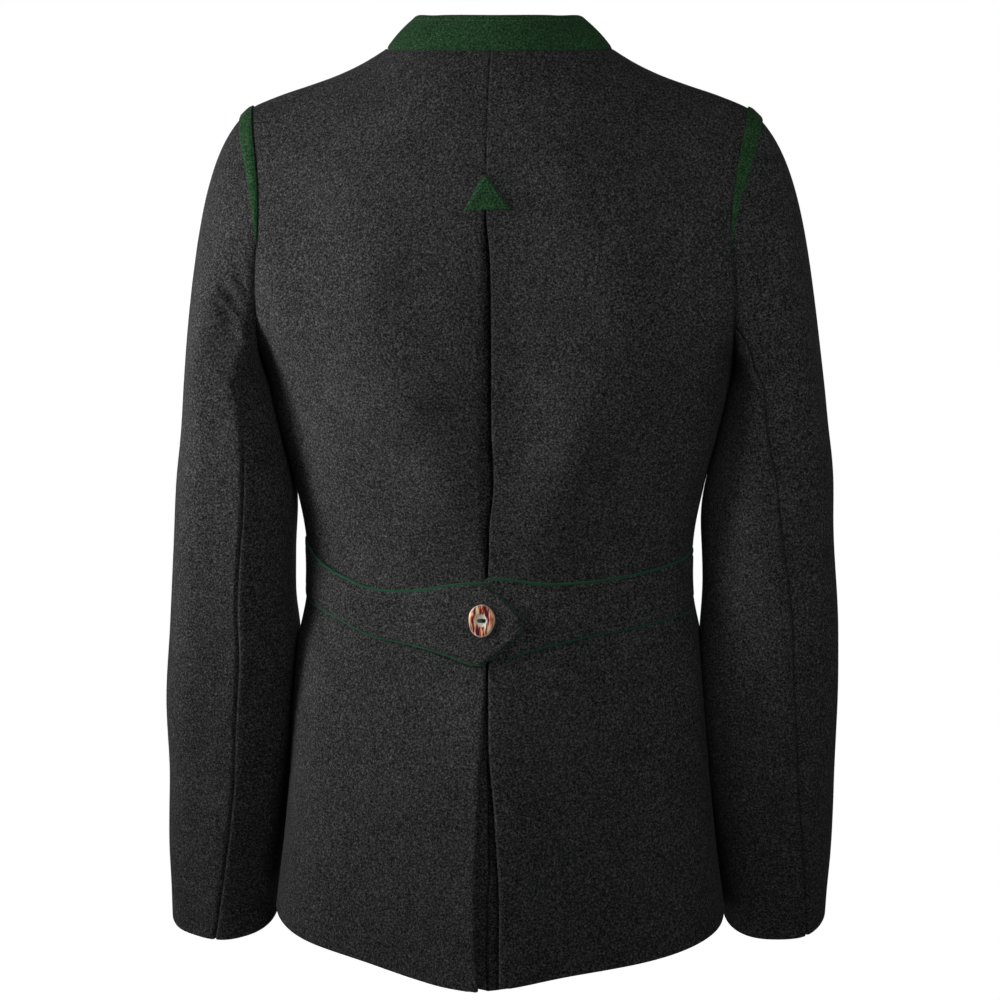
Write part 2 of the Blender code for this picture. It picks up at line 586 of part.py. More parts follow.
def build_collar():
    """Stand collar, open at the throat, its ends rounded."""
    quarter = PI / 2.0 / U_NECK
    back = BACK_U[BACK_U <= U_NECK + 1e-9] * quarter
    front = PI - FRONT_U[(FRONT_U <= U_NECK - 1e-9) & (FRONT_U >= COLLAR_END_U)][::-1] * quarter
    half = np.concatenate([back, front])
    near_end = half[-1] - np.array((0.16, 0.10, 0.05, 0.02))
    half = np.sort(np.concatenate([half, near_end]))
    a = np.concatenate([-half[:0:-1], half])
    turn = np.abs(a) / PI
    base = neck_ring(a)
    chord = np.sort(np.concatenate([back, front, -back[1:], -front]))
    corners = neck_ring(chord)
    base = np.stack([np.interp(a, chord, corners[:, i]) for i in range(3)], -1)
    base = base + np.array([0.0, 0.0, COLLAR_RISE])
    top = np.stack([
        base[:, 0] * smooth(turn, COLLAR_TOP, 1),
        base[:, 1] - smooth(turn, COLLAR_TOP, 2),
        smooth(turn, COLLAR_TOP, 3),
    ], -1)
    run = (half[-1] - np.abs(a)) * NECK_HALF
    full = 1.0 - 0.5 * (1.0 - np.sqrt(1.0 - np.clip(1.0 - run / COLLAR_ROUNDED, 0.0, 1.0) ** 2))
    h = np.linspace(0.0, 1.0, 6)[None, :, None] * full[:, None, None]
    points = base[:, None] * (1.0 - h) + top[:, None] * h
    bulge = 0.0012 * np.sin(PI * h[..., 0])
    along_a = np.gradient(points, axis=0)
    along_h = np.gradient(points, axis=1)
    normals = unit(np.cross(along_h, along_a))
    outward = np.sum(normals * points * np.array([1.0, 1.0, 0.0]), axis=-1, keepdims=True)
    normals = normals * np.where(outward < 0.0, -1.0, 1.0)
    points = points + normals * bulge[..., None]
    normals[:, 0, 2] = 0.0
    normals = unit(normals)
    return add_wall("collar", points, normals, FELT, FELT_GREEN)


def build_triangle():
    """Three-cornered felt patch over the top of the pleat."""
    apex, left, right = (np.array(p) for p in TRIANGLE)
    n = 7
    share = np.linspace(0.0, 1.0, n)
    down = np.linspace(0.06, 1.0, n)
    edge_left = apex[None] + (left - apex)[None] * down[:, None]
    edge_right = apex[None] + (right - apex)[None] * down[:, None]
    grid = edge_left[None] + (edge_right - edge_left)[None] * share[:, None, None]
    x = grid[..., 0]
    z = grid[..., 1]
    points = np.stack([x, body_y(x, z, 1), z], -1)
    lift = np.full(x.shape, 0.0005 + TRIM)
    return add_wall("back_triangle", points, body_normal(x, z, 1), TRIM, FELT_GREEN, (), lift)


# ---------------------------------------------------------------- half belt
def belt_point(x, z):
    """Point on the back at signed offset x, held off the side seam."""
    limit = smooth(z, BODY, 1) * 0.99999
    x = np.clip(x, -limit, limit)
    return np.stack([x, body_y(x, z, 1), z], -1), body_normal(x, z, 1)


def belt_stations(side):
    """Round-the-body share, height of the top edge and of the bottom edge, from side seam inward."""
    table = BELT_LEFT if side > 0 else BELT_RIGHT
    rows = np.array(table if side > 0 else table[::-1])
    middle = (rows[:, 1] + rows[:, 2]) / 2.0
    ratio = np.clip(np.abs(rows[:, 0]) / smooth(middle, BODY, 1), 0.0, 1.0)
    share = np.arcsin(ratio ** (POWER / 2.0)) / (PI / 2.0) * np.sign(rows[:, 0]) * side
    ends = BELT_SIDE_Z[side]
    return (
        np.concatenate([[BELT_END_U], share]),
        np.concatenate([[ends[0]], rows[:, 1]]),
        np.concatenate([[ends[1]], rows[:, 2]]),
    )


def belt_edge(side, share):
    """Top and bottom height of a belt piece at given shares."""
    stations, top, bottom = belt_stations(side)
    order = np.argsort(stations)
    return (
        np.interp(share, stations[order], top[order]),
        np.interp(share, stations[order], bottom[order]),
    )


def belt_surface(side, share, z):
    """Points and normals of the back at a share round the body, signed towards the piece's side."""
    x = side * np.sign(share) * smooth(z, BODY, 1) * spread(np.abs(share))
    return belt_point(x, z)


def belt_lift(side, x):
    """Height of the belt's outer side over the back; the left piece climbs onto the right one."""
    lift = BELT_GAP + BELT_THICKNESS
    if side > 0:
        climb = BELT_THICKNESS + LAYER_GAP
        return lift + climb * ease((0.060 - x) / 0.030)
    return lift + np.zeros_like(x)


def belt_shares(side):
    """Shares at which a belt piece has its columns."""
    stations = belt_stations(side)[0]
    extra = np.linspace(0.12, BELT_END_U, 22)
    near = stations[stations < 0.12]
    inner = np.linspace(-0.0, 0.11, 4) if side > 0 else np.linspace(-0.02, 0.11, 4)
    shares = np.unique(np.round(np.concatenate([extra, near, inner]), 4))
    keep = np.concatenate([[True], np.diff(shares) > 0.0035])
    return shares[keep][::-1]


def build_belt(side, name):
    """One piece of the half belt lying on the back panel."""
    share = belt_shares(side)
    top, bottom = belt_edge(side, share)
    rows = np.linspace(0.0, 1.0, 6)[None]
    z = top[:, None] + (bottom - top)[:, None] * rows
    points, normals = belt_surface(side, np.broadcast_to(share[:, None], z.shape), z)
    lift = belt_lift(side, points[..., 0])
    return add_wall(name, points, normals, BELT_THICKNESS, LODEN, (), lift)


def belt_outline(side, parts):
    """Edge polyline of a belt piece, with the surface normals along it."""
    share = belt_shares(side)
    top, bottom = belt_edge(side, share)
    lines = []
    if "top" in parts:
        lines.append((share, top))
    if "bottom" in parts:
        lines.append((share[::-1], bottom[::-1]))
    s = np.concatenate([line[0] for line in lines])
    z = np.concatenate([line[1] for line in lines])
    points, normals = belt_surface(side, s, z)
    lift = belt_lift(side, points[..., 0]) - BELT_THICKNESS / 2.0
    return points + normals * lift[:, None], normals


def build_piping(side, parts, name, keep=None):
    """Cord along the edge of a belt piece."""
    points, normals = belt_outline(side, parts)
    if keep is not None:
        mask = keep(points)
        points = points[mask]
        normals = normals[mask]
    along = unit(np.gradient(points, axis=0))
    across = unit(np.cross(normals, along))
    middle = np.mean(points, axis=0)
    if np.sum((points - middle) * across) < 0.0:
        across = -across
    if parts == ("top",) and np.mean(across[:, 2]) < 0.0:
        across = -across
    if parts == ("bottom",) and np.mean(across[:, 2]) > 0.0:
        across = -across
    path = points + across * (PIPING_RADIUS + 0.0003)
    verts, faces = tube_mesh(path, across, normals, PIPING_RADIUS)
    return add_object(name, verts, faces, PIPING_GREEN)


def build_button(name, centre, normal):
    """Oval horn button with a shallow eye in its middle."""
    up = unit(np.array([0.0, 0.0, 1.0]) - normal * normal[2])
    wide = np.cross(up, normal)
    turn = 2.0 * PI * np.arange(BUTTON_SIDES) / BUTTON_SIDES
    verts = [centre]
    for radius, height in BUTTON_PROFILE:
        flat = BUTTON_HALF[0] * np.cos(turn)[:, None] * wide + BUTTON_HALF[1] * np.sin(turn)[:, None] * up
        verts.extend(centre + radius * flat + height * BUTTON_THICKNESS * normal)
    verts.append(centre + BUTTON_PROFILE[-1][1] * BUTTON_THICKNESS * normal)
    rings = len(BUTTON_PROFILE)
    faces = []
    for k in range(BUTTON_SIDES):
        j = (k + 1) % BUTTON_SIDES
        faces.append((0, 1 + j, 1 + k))
        for i in range(rings - 1):
            low = 1 + i * BUTTON_SIDES
            high = low + BUTTON_SIDES
            faces.append((low + k, low + j, high + j, high + k))
        last = 1 + (rings - 1) * BUTTON_SIDES
        faces.append((last + k, last + j, len(verts) - 1))
    return add_object(name, verts, faces, HORN)


def build_all():
    """Every piece of the jacket."""
    build_back(1, "panel_back_left")
    build_back(-1, "panel_back_right")
    build_underlay()
    build_front(1, "panel_front_left")
    build_front(-1, "panel_front_right")
    for side, word in ((1, "left"), (-1, "right")):
        build_sleeve(side, "sleeve_top_" + word, 14, False)
        build_sleeve(side, "sleeve_under_" + word, 9, True)
        build_inset(side, "shoulder_inset_" + word)
    build_collar()
    build_triangle()
    build_belt(1, "belt_left")
    build_belt(-1, "belt_right")
    build_piping(1, ("top", "bottom"), "belt_piping_left")
    build_piping(-1, ("top",), "belt_piping_right_top", lambda p: p[:, 0] < 0.0035)
    build_piping(-1, ("bottom",), "belt_piping_right_bottom", lambda p: p[:, 0] < -0.0100)
    x, z = BUTTON_AT
    point, normal = belt_point(np.array(x), np.array(z))
    lift = float(belt_lift(1, np.array(x))) + LAYER_GAP
    build_button("belt_button", point + normal * lift, normal)
    for i, z in enumerate(FRONT_BUTTON_Z):
        normal = body_normal(np.array(0.0), np.array(z), -1)
        point = np.array([0.0, float(body_y(np.array(0.0), np.array(z), -1)), z])
        build_button("front_button_%d" % (i + 1), point + normal * (CLOTH + 2.5 * LAYER_GAP), normal)


for stale in list(bpy.data.objects):
    bpy.data.objects.remove(stale, do_unlink=True)
build_all()
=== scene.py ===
# %% [markdown]
# # A Tyrolean loden jacket, worn with nobody in it
#
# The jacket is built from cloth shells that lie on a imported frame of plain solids.
# Each shell is a surface worked out with numpy: a point is a function of two
# numbers, one running round the body or the sleeve and one running down it.
# The frame says where everything is, so nothing here has to be fitted by eye.

# %% Load the frame
import math

import bpy
import numpy as np
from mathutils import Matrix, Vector


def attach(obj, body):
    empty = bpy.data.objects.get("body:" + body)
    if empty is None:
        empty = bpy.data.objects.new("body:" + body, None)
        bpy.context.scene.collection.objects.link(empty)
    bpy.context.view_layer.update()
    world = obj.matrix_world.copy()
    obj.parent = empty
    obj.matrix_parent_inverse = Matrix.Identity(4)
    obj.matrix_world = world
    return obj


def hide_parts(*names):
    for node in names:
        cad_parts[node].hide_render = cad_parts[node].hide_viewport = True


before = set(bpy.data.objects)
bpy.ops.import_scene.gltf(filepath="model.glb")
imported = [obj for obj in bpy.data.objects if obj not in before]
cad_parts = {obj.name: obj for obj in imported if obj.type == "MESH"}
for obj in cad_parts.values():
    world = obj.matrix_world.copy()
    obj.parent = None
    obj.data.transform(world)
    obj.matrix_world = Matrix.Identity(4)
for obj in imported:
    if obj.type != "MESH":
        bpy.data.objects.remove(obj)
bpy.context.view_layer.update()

# %% [markdown]
# ## Camera and studio
#
# A near camera widens whatever stands closest to it, so the camera stands a few metres
# behind the jacket and looks through a long lens: the shoulders and the hem keep their
# true proportions. The jacket hangs in the air as its wearer would carry it, over a
# pale floor.

# %% Camera
CAMERA_AT = (-0.1725, 2.4665, 0.0265)
CAMERA_TARGET = (0.0, 0.0, -0.343)
LENS_MM = 117.07
SENSOR_MM = 36.0


def aim(thing, at, target):
    """Place a camera or a light and turn it towards a point: its -Z axis looks along target minus at."""
    thing.location = at
    thing.rotation_euler = (Vector(target) - Vector(at)).to_track_quat("-Z", "Y").to_euler()


scene = bpy.context.scene
camera = bpy.data.objects.new("camera_back", bpy.data.cameras.new("camera_back"))
camera.data.lens = LENS_MM
camera.data.sensor_width = SENSOR_MM
camera.data.dof.use_dof = False
scene.collection.objects.link(camera)
aim(camera, CAMERA_AT, CAMERA_TARGET)
scene.camera = camera
scene.view_settings.view_transform = "Standard"
print("camera at", CAMERA_AT, "with a", LENS_MM, "mm lens")

# %% [markdown]
# Dark wool shows its nap and its folds only in raking light. So three narrow sources
# stand at the wearer's left, almost in line with the back: one for the whole back, one
# for the shoulder blade and one low down for the skirt and the cuff. A wide source high
# behind and a small one on the right shoulder open the shadows, and one in front lights
# the fronts alone. The floor and the dome send no light onto the jacket, so its far
# side stays dark.

# %% Lights
KEY_TINT = (1.0, 0.99, 0.98)
FILL_TINT = (0.98, 0.99, 1.0)
# name, place, width of the source, watts, spread in degrees, target, tint
LIGHTS = (
    ("key_wide", (1.20, 0.38, 0.10), 0.5, 1.15, 66.0, (0.05, 0.05, -0.42), KEY_TINT),
    ("key_narrow", (1.20, 0.34, -0.12), 0.4, 0.45, 32.0, (0.10, 0.08, -0.20), KEY_TINT),
    ("key_low", (1.25, 0.30, -0.62), 0.3, 0.14, 44.0, (0.22, 0.0, -0.60), KEY_TINT),
    ("fill_above", (0.20, 1.80, 1.40), 0.8, 0.80, 180.0, (0.0, 0.0, -0.30), FILL_TINT),
    ("fill_shoulder", (-0.60, 1.80, 0.30), 0.6, 0.68, 46.0, (-0.15, 0.10, -0.17), FILL_TINT),
    ("fill_front", (0.15, -2.30, 0.35), 0.8, 1.90, 50.0, (0.0, 0.0, -0.33), FILL_TINT),
)
WORLD_GREY = 0.08

for name, place, width, watts, spread_degrees, target, tint in LIGHTS:
    source = bpy.data.objects.new(name, bpy.data.lights.new(name, "AREA"))
    source.data.size = width
    source.data.energy = watts
    source.data.spread = math.radians(spread_degrees)
    source.data.color = tint
    scene.collection.objects.link(source)
    aim(source, place, target)

world = bpy.data.worlds.new("studio")
world.use_nodes = True
world.node_tree.nodes["Background"].inputs["Color"].default_value = (WORLD_GREY,) * 3 + (1.0,)
scene.world = world
print(len(LIGHTS), "lights and a world of grey", WORLD_GREY)

# %% Floor and dome
FLOOR_Z = -1.45
STUDIO_RADIUS = 9.0
DOME_SHARE = 0.99
DOME_DROP = 0.01
STUDIO_SPOKES = 65
STUDIO_RINGS = 9
# grey of the paint, light of its own
FLOOR_PAINT = (0.6, 0.96)
DOME_PAINT = (0.0, 1.0)


def grid_faces(rows, columns):
    """Corner numbers of the quads between neighbouring points of a rows by columns grid."""
    index = np.arange(rows * columns).reshape(rows, columns)
    quads = np.stack([index[:-1, :-1], index[1:, :-1], index[1:, 1:], index[:-1, 1:]], -1)
    return quads.reshape(-1, 4)


def mesh_object(name, verts, faces, material):
    """One smooth-shaded mesh object from whole arrays of points and faces."""
    mesh = bpy.data.meshes.new(name)
    mesh.from_pydata(np.asarray(verts, float).tolist(), [], faces if isinstance(faces, list) else faces.tolist())
    mesh.polygons.foreach_set("use_smooth", np.ones(len(mesh.polygons), bool))
    mesh.materials.append(material)
    thing = bpy.data.objects.new(name, mesh)
    scene.collection.objects.link(thing)
    return thing


def pale_surface(name, grey, glow):
    """A matt pale paint with a little light of its own, so that the studio stays even."""
    material = bpy.data.materials.new(name)
    material.use_nodes = True
    shader = material.node_tree.nodes["Principled BSDF"]
    shader.inputs["Base Color"].default_value = (grey, grey, grey, 1.0)
    shader.inputs["Roughness"].default_value = 0.9
    shader.inputs["Specular IOR Level"].default_value = 0.0
    shader.inputs["Emission Color"].default_value = (1.0, 1.0, 1.0, 1.0)
    shader.inputs["Emission Strength"].default_value = glow
    return material


turn, out = np.meshgrid(np.linspace(0.0, 2.0 * math.pi, STUDIO_SPOKES), np.linspace(0.0, 1.0, STUDIO_RINGS),
                        indexing="ij")
floor_points = np.stack([np.cos(turn) * out, np.sin(turn) * out, np.zeros_like(out)], -1) * STUDIO_RADIUS
floor_points = floor_points + (0.0, 0.0, FLOOR_Z)
rise = out * math.pi / 2.0
dome_points = np.stack([np.cos(turn) * np.cos(rise), np.sin(turn) * np.cos(rise), np.sin(rise)], -1)
dome_points = dome_points * STUDIO_RADIUS * DOME_SHARE + (0.0, 0.0, FLOOR_Z - DOME_DROP)
studio_faces = grid_faces(STUDIO_SPOKES, STUDIO_RINGS)
floor = mesh_object("floor", floor_points.reshape(-1, 3), studio_faces, pale_surface("floor_paint", *FLOOR_PAINT))
dome = mesh_object("dome", dome_points.reshape(-1, 3), studio_faces, pale_surface("dome_paint", *DOME_PAINT))
for part in (floor, dome):
    part.visible_diffuse = False
    part.visible_glossy = False
    part.visible_shadow = False
    part.visible_transmission = False
print("floor at", FLOOR_Z, "m, dome of", STUDIO_RADIUS, "m")

# %% [markdown]
# ## Finishes
#
# Loden is wool that is woven and then fulled until the weave disappears under a
# short nap. It is charcoal with pale hairs in it, so a good copy needs three scales:
# clouds a few centimetres across, a mottle of a few millimetres, and single hairs
# about a millimetre long that lie in crossing directions. A painted texture could do
# this, but noise worked out from the place on the jacket, in metres, has the same
# grain on every piece and never stretches or repeats.

# %% Node helpers


def add(tree, kind, inputs=(), **settings):
    """Add a node; inputs maps a socket to a value or to another node's output."""
    made = tree.nodes.new(kind)
    for key, value in settings.items():
        setattr(made, key, value)
    for key, value in dict(inputs).items():
        if isinstance(value, bpy.types.NodeSocket):
            tree.links.new(value, made.inputs[key])
        else:
            made.inputs[key].default_value = value
    return made


def math_node(tree, operation, *values):
    """Arithmetic on one to three numbers or sockets."""
    return add(tree, "ShaderNodeMath", dict(enumerate(values)), operation=operation).outputs[0]


def band(tree, value, start, end, low, high):
    """Read a value between start and end as a share between low and high, and hold it beyond them."""
    return add(tree, "ShaderNodeMapRange", {0: value, 1: start, 2: end, 3: low, 4: high}).outputs[0]


def ramp(tree, factor, stops):
    """Colour ramp through (position, colour) stops."""
    made = add(tree, "ShaderNodeValToRGB", {0: factor})
    points = made.color_ramp.elements
    while len(points) < len(stops):
        points.new(0.5)
    for point, (position, colour) in zip(points, stops):
        point.position = position
        point.color = (*colour, 1.0)
    return made.outputs["Color"]


def mix(tree, factor, low, high, blend="MIX"):
    """Blend two colours by a factor."""
    made = add(tree, "ShaderNodeMix", {0: factor, 6: low, 7: high}, data_type="RGBA", blend_type=blend)
    return made.outputs[2]


def noise(tree, coordinates, size, detail=2.0, lean=(0.0, 0.0), stretch=1.0):
    """Noise with features of a size in metres, stretched along an axis that leans by two angles."""
    placed = add(tree, "ShaderNodeMapping", {
        "Vector": coordinates, "Rotation": (0.0, math.radians(lean[0]), math.radians(lean[1])),
        "Scale": (size, size, size * stretch)}, vector_type="TEXTURE").outputs[0]
    return add(tree, "ShaderNodeTexNoise", {
        "Vector": placed, "Scale": 1.0, "Detail": detail, "Roughness": 0.55}).outputs["Fac"]


def new_material(name, roughness, specular, sheen=0.0, sheen_tint=(1.0, 1.0, 1.0)):
    """A material with its constant values set on the shader itself."""
    material = bpy.data.materials.new(name)
    material.use_nodes = True
    shader = material.node_tree.nodes["Principled BSDF"]
    shader.inputs["Roughness"].default_value = roughness
    shader.inputs["Specular IOR Level"].default_value = specular
    shader.inputs["Sheen Weight"].default_value = sheen
    shader.inputs["Sheen Roughness"].default_value = 0.5
    shader.inputs["Sheen Tint"].default_value = (*sheen_tint, 1.0)
    return material, material.node_tree, shader


def finish_surface(tree, shader, colour, height, depth):
    """Send a colour to the shader, and a height in metres to its bump."""
    tree.links.new(colour, shader.inputs["Base Color"])
    bump = add(tree, "ShaderNodeBump", {"Height": height, "Distance": depth, "Strength": 1.0})
    tree.links.new(bump.outputs[0], shader.inputs["Normal"])


# %% Napped wool
CHARCOAL = (0.0300, 0.0298, 0.0302)
PALE_HAIR = (0.220, 0.217, 0.220)
WOOL_ROUGHNESS, WOOL_SPECULAR, WOOL_SHEEN, SHEEN_TINT = 0.95, 0.05, 0.03, (0.9, 0.9, 0.9)
# size in metres and weight of the two slow noises, beside the fibres' own weight of one
CLOUD_SIZE, CLOUD_WEIGHT = 0.035, 0.12
MOTTLE_SIZE, MOTTLE_WEIGHT = 0.0055, 0.10
# the sum of the three noises at which the base colour is left as it is
MEAN_NOISE = 0.61
# every hair direction leans the same way off all three axes, so it slants in any view
HAIR_SIZE = 0.0010
RISING, RISING_STRETCH = (54.7, 45.0), 2.6
FALLING, FALLING_STRETCH, FALLING_SIZE = (125.3, 45.0), 3.0, HAIR_SIZE * 0.9
# noise at which a hair begins to show, and at which it shows fully
HAIR_BEGINS, HAIR_FULL = 0.58, 0.80
HAIR_HEIGHT = 0.7


def napped_wool(name, base, hair, hair_share, grain, contrast, depth):
    """Fulled wool: the base is multiplied by contrast to the power of the noise, and hairs lie over it."""
    material, tree, shader = new_material(name, WOOL_ROUGHNESS, WOOL_SPECULAR, WOOL_SHEEN, SHEEN_TINT)
    place = add(tree, "ShaderNodeTexCoord").outputs["Object"]
    clouds = noise(tree, place, CLOUD_SIZE)
    mottle = noise(tree, place, MOTTLE_SIZE)
    fibres = noise(tree, place, grain)
    hairs = math_node(tree, "MAXIMUM", noise(tree, place, HAIR_SIZE, 1.0, RISING, RISING_STRETCH),
                      noise(tree, place, FALLING_SIZE, 1.0, FALLING, FALLING_STRETCH))
    power = math_node(tree, "MULTIPLY_ADD", clouds, CLOUD_WEIGHT, fibres)
    power = math_node(tree, "MULTIPLY_ADD", mottle, MOTTLE_WEIGHT, power)
    tone = math_node(tree, "POWER", contrast, math_node(tree, "SUBTRACT", power, MEAN_NOISE))
    grey = add(tree, "ShaderNodeCombineColor", {0: tone, 1: tone, 2: tone}).outputs[0]
    ground = mix(tree, 1.0, (*base, 1.0), grey, "MULTIPLY")
    colour = mix(tree, band(tree, hairs, HAIR_BEGINS, HAIR_FULL, 0.0, hair_share), ground, (*hair, 1.0))
    height = math_node(tree, "MULTIPLY_ADD", hairs, HAIR_HEIGHT, fibres)
    finish_surface(tree, shader, colour, height, depth)
    return material


loden = napped_wool("loden_charcoal", CHARCOAL, PALE_HAIR, 0.70, 0.0015, 500.0, 0.00022)
print("made", loden.name)

# %% [markdown]
# The collar, the shoulder wedges and the triangle are felt: the same wool, dyed bottle
# green, but pressed harder, so its grain is finer and its hairs nearly disappear. The
# belt's piping is a twisted cord covered in green cloth, and the sewing thread is a
# dull yarn. Both are so thin that a slanting ripple along their UV map is enough.

# %% Felt, piping and thread
BOTTLE_GREEN = (0.0260, 0.0720, 0.0300)
GREEN_HAIR = (0.050, 0.110, 0.055)
PIPING_GREEN = (0.0140, 0.0860, 0.0430)
TWIST_DEGREES = 40.0
# darker and paler copies of the yarn's colour: painted shade in the twist's grooves, painted light on its ridges
TWIST_SHADE_AND_LIGHT = (0.65, 1.35)
YARN_BUMP = 0.00010


def twisted_yarn(name, colour, pitch, roughness=0.8):
    """Yarn or covered cord: bands slant across the length at the pitch of the twist, the darker ones painted shade
    in its grooves and the paler ones painted light on its ridges.
    """
    material, tree, shader = new_material(name, roughness, 0.15, 0.05)
    strand = add(tree, "ShaderNodeUVMap", uv_map="cloth").outputs[0]
    placed = add(tree, "ShaderNodeMapping", {
        "Vector": strand, "Rotation": (0.0, 0.0, math.radians(TWIST_DEGREES)), "Scale": (pitch,) * 3},
        vector_type="TEXTURE").outputs[0]
    bands = add(tree, "ShaderNodeTexWave", {"Vector": placed, "Scale": 0.5, "Distortion": 1.0}).outputs["Fac"]
    # the bands mix painted shade and painted light, and the same bands also drive the bump
    dark, pale = (tuple(channel * shade for channel in colour) for shade in TWIST_SHADE_AND_LIGHT)
    finish_surface(tree, shader, mix(tree, bands, (*dark, 1.0), (*pale, 1.0)), bands, YARN_BUMP)
    return material


felt = napped_wool("felt_green", BOTTLE_GREEN, GREEN_HAIR, 0.30, 0.0012, 110.0, 0.00012)
piping = twisted_yarn("piping_green", PIPING_GREEN, 0.0011)
grey_thread = twisted_yarn("thread_grey", (0.105, 0.105, 0.108), 0.0006)
green_thread = twisted_yarn("thread_green", (0.090, 0.185, 0.110), 0.0006)
eye_thread = twisted_yarn("thread_bottle", (0.010, 0.070, 0.020), 0.0006, 0.6)
print("made", felt.name, piping.name, grey_thread.name, green_thread.name, eye_thread.name)

# %% [markdown]
# The buttons are slices of stag's antler. Sawn across, the antler shows a cream rim
# and a cream pith, and between them runs a streaked brown grain. The streaks go one
# way over the whole face, so they are noise squeezed hard across the grain, read
# through a ramp of cream, rust and dark plum. The UV map runs from -1 to 1 over the
# face, which makes the rim and the pith plain circles.

# %% Antler
# noise and the colour of the streak there, from the plum valleys to the cream ridges
STREAKS = (
    (0.38, (0.030, 0.004, 0.030)), (0.455, (0.130, 0.008, 0.022)), (0.500, (0.560, 0.040, 0.015)),
    (0.530, (0.860, 0.260, 0.085)), (0.570, (0.950, 0.620, 0.360)), (0.66, (0.950, 0.800, 0.600)),
)
STREAK_SHIFT = (0.0, 0.3, 0.0)
STREAK_SCALE = (5.4, 1.10, 1.0)
RIM_COLOUR = (0.95, 0.78, 0.60, 1.0)
PITH_COLOUR = (0.96, 0.91, 0.76, 1.0)
# the sew holes are not cut: a near-black disc of painted shade stands for the shade inside each
HOLE_SHADE_COLOUR = (0.004, 0.006, 0.004, 1.0)
HOLE_AT = (0.21, 0.0, 0.0)
# radius where each begins and ends, strength at those two radii
RIM_BAND = (0.88, 0.97, 0.0, 0.85)
PITH_BAND = (0.34, 0.42, 1.0, 0.0)
HOLE_SHADE_BAND = (0.09, 0.15, 1.0, 0.0)


def antler(name):
    """Streaked horn; the distance from the middle chooses rim and pith, and two near-black spots of painted shade
    stand for its sew holes.
    """
    material, tree, shader = new_material(name, 0.30, 0.45)
    face = add(tree, "ShaderNodeUVMap", uv_map="cloth").outputs[0]
    placed = add(tree, "ShaderNodeMapping", {"Vector": face, "Location": STREAK_SHIFT,
                                             "Scale": STREAK_SCALE}).outputs[0]
    streaks = add(tree, "ShaderNodeTexNoise", {
        "Vector": placed, "Scale": 1.0, "Detail": 1.5, "Roughness": 0.60, "Distortion": 0.5}).outputs["Fac"]
    colour = ramp(tree, streaks, STREAKS)
    radius = add(tree, "ShaderNodeVectorMath", {0: face}, operation="LENGTH").outputs["Value"]
    either = add(tree, "ShaderNodeVectorMath", {0: face}, operation="ABSOLUTE").outputs["Vector"]
    apart = add(tree, "ShaderNodeVectorMath", {0: either, 1: HOLE_AT}, operation="DISTANCE").outputs["Value"]
    for value, reach, shade in ((radius, RIM_BAND, RIM_COLOUR), (radius, PITH_BAND, PITH_COLOUR),
                                (apart, HOLE_SHADE_BAND, HOLE_SHADE_COLOUR)):
        colour = mix(tree, band(tree, value, *reach), colour, shade)
    finish_surface(tree, shader, colour, streaks, 0.00025)
    return material


horn = antler("antler_horn")
print("made", horn.name)

# %% [markdown]
# ## The body's surface
#
# A worn jacket follows the wearer, so its body can be drawn as level sections, each a
# rounded oblong with its own width and depth, joined by smooth curves through a short
# table. The shoulders need more: above the chest the front and the back lean together
# until they meet at the shoulder seam. Working this out as one formula, and not
# sculpting it, lets every piece ask the same function where the cloth lies.

# %% Curves
UP = np.array([0.0, 0.0, 1.0])
SIDES = ((1, "left"), (-1, "right"))


def hermite(t, start, leave, end, arrive):
    """Cubic curve from start to end while t goes from 0 to 1, leaving and arriving along two tangents."""
    return ((2 * t ** 3 - 3 * t ** 2 + 1) * start + (t ** 3 - 2 * t ** 2 + t) * leave
            + (3 * t ** 2 - 2 * t ** 3) * end + (t ** 3 - t ** 2) * arrive)


def smooth(x, table, column=1):
    """Hermite curve through a table's rows, its slopes read from the neighbouring rows."""
    rows = np.array(sorted(map(tuple, table)), float)
    xs, ys = rows[:, 0], rows[:, column]
    slopes = np.gradient(ys, xs)
    x = np.clip(np.asarray(x, float), xs[0], xs[-1])
    i = np.clip(np.searchsorted(xs, x, side="right") - 1, 0, len(xs) - 2)
    span = xs[i + 1] - xs[i]
    return hermite((x - xs[i]) / span, ys[i], span * slopes[i], ys[i + 1], span * slopes[i + 1])


def ease(t):
    """Smooth step: three times t squared less twice t cubed, for t held between 0 and 1."""
    t = np.clip(t, 0.0, 1.0)
    return t * t * (3.0 - 2.0 * t)


def unit(v):
    """Vectors divided by their lengths."""
    return v / np.maximum(np.linalg.norm(v, axis=-1, keepdims=True), 1e-12)


def bell(distance, width):
    """Bell curve: e to the minus square of distance over width."""
    return np.exp(-(distance / width) ** 2)


def running(points, axis):
    """Running length of a grid's lines along one axis, from their first point."""
    step = np.linalg.norm(np.diff(points, axis=axis), axis=-1)
    pad = [(0, 0), (0, 0)]
    pad[axis] = (1, 0)
    return np.cumsum(np.pad(step, pad), axis=axis)


def resampled(at, run, line):
    """A line of points read at other running lengths, one coordinate after the other."""
    return np.stack([np.interp(at, run, column) for column in line.T], -1)


# %% Body sections
POWER = 2.4
# height, half width, depth of the back, depth of the front
BODY = (
    (-0.720, 0.1804, 0.1320, 0.1200), (-0.665, 0.1750, 0.1290, 0.1185), (-0.600, 0.1672, 0.1235, 0.1165),
    (-0.550, 0.1628, 0.1175, 0.1140), (-0.500, 0.1600, 0.1095, 0.1105), (-0.450, 0.1558, 0.1005, 0.1070),
    (-0.415, 0.1490, 0.0955, 0.1045), (-0.370, 0.1490, 0.0970, 0.1055), (-0.330, 0.1564, 0.1020, 0.1090),
    (-0.276, 0.1706, 0.1105, 0.1140), (-0.235, 0.1800, 0.1160, 0.1160), (-0.195, 0.2008, 0.1185, 0.1140),
    (-0.140, 0.2203, 0.1160, 0.1030), (-0.090, 0.2272, 0.1125, 0.0880), (-0.040, 0.2291, 0.1120, 0.0760),
    (0.000, 0.2291, 0.1150, 0.0690), (0.040, 0.2291, 0.1180, 0.0650),
)
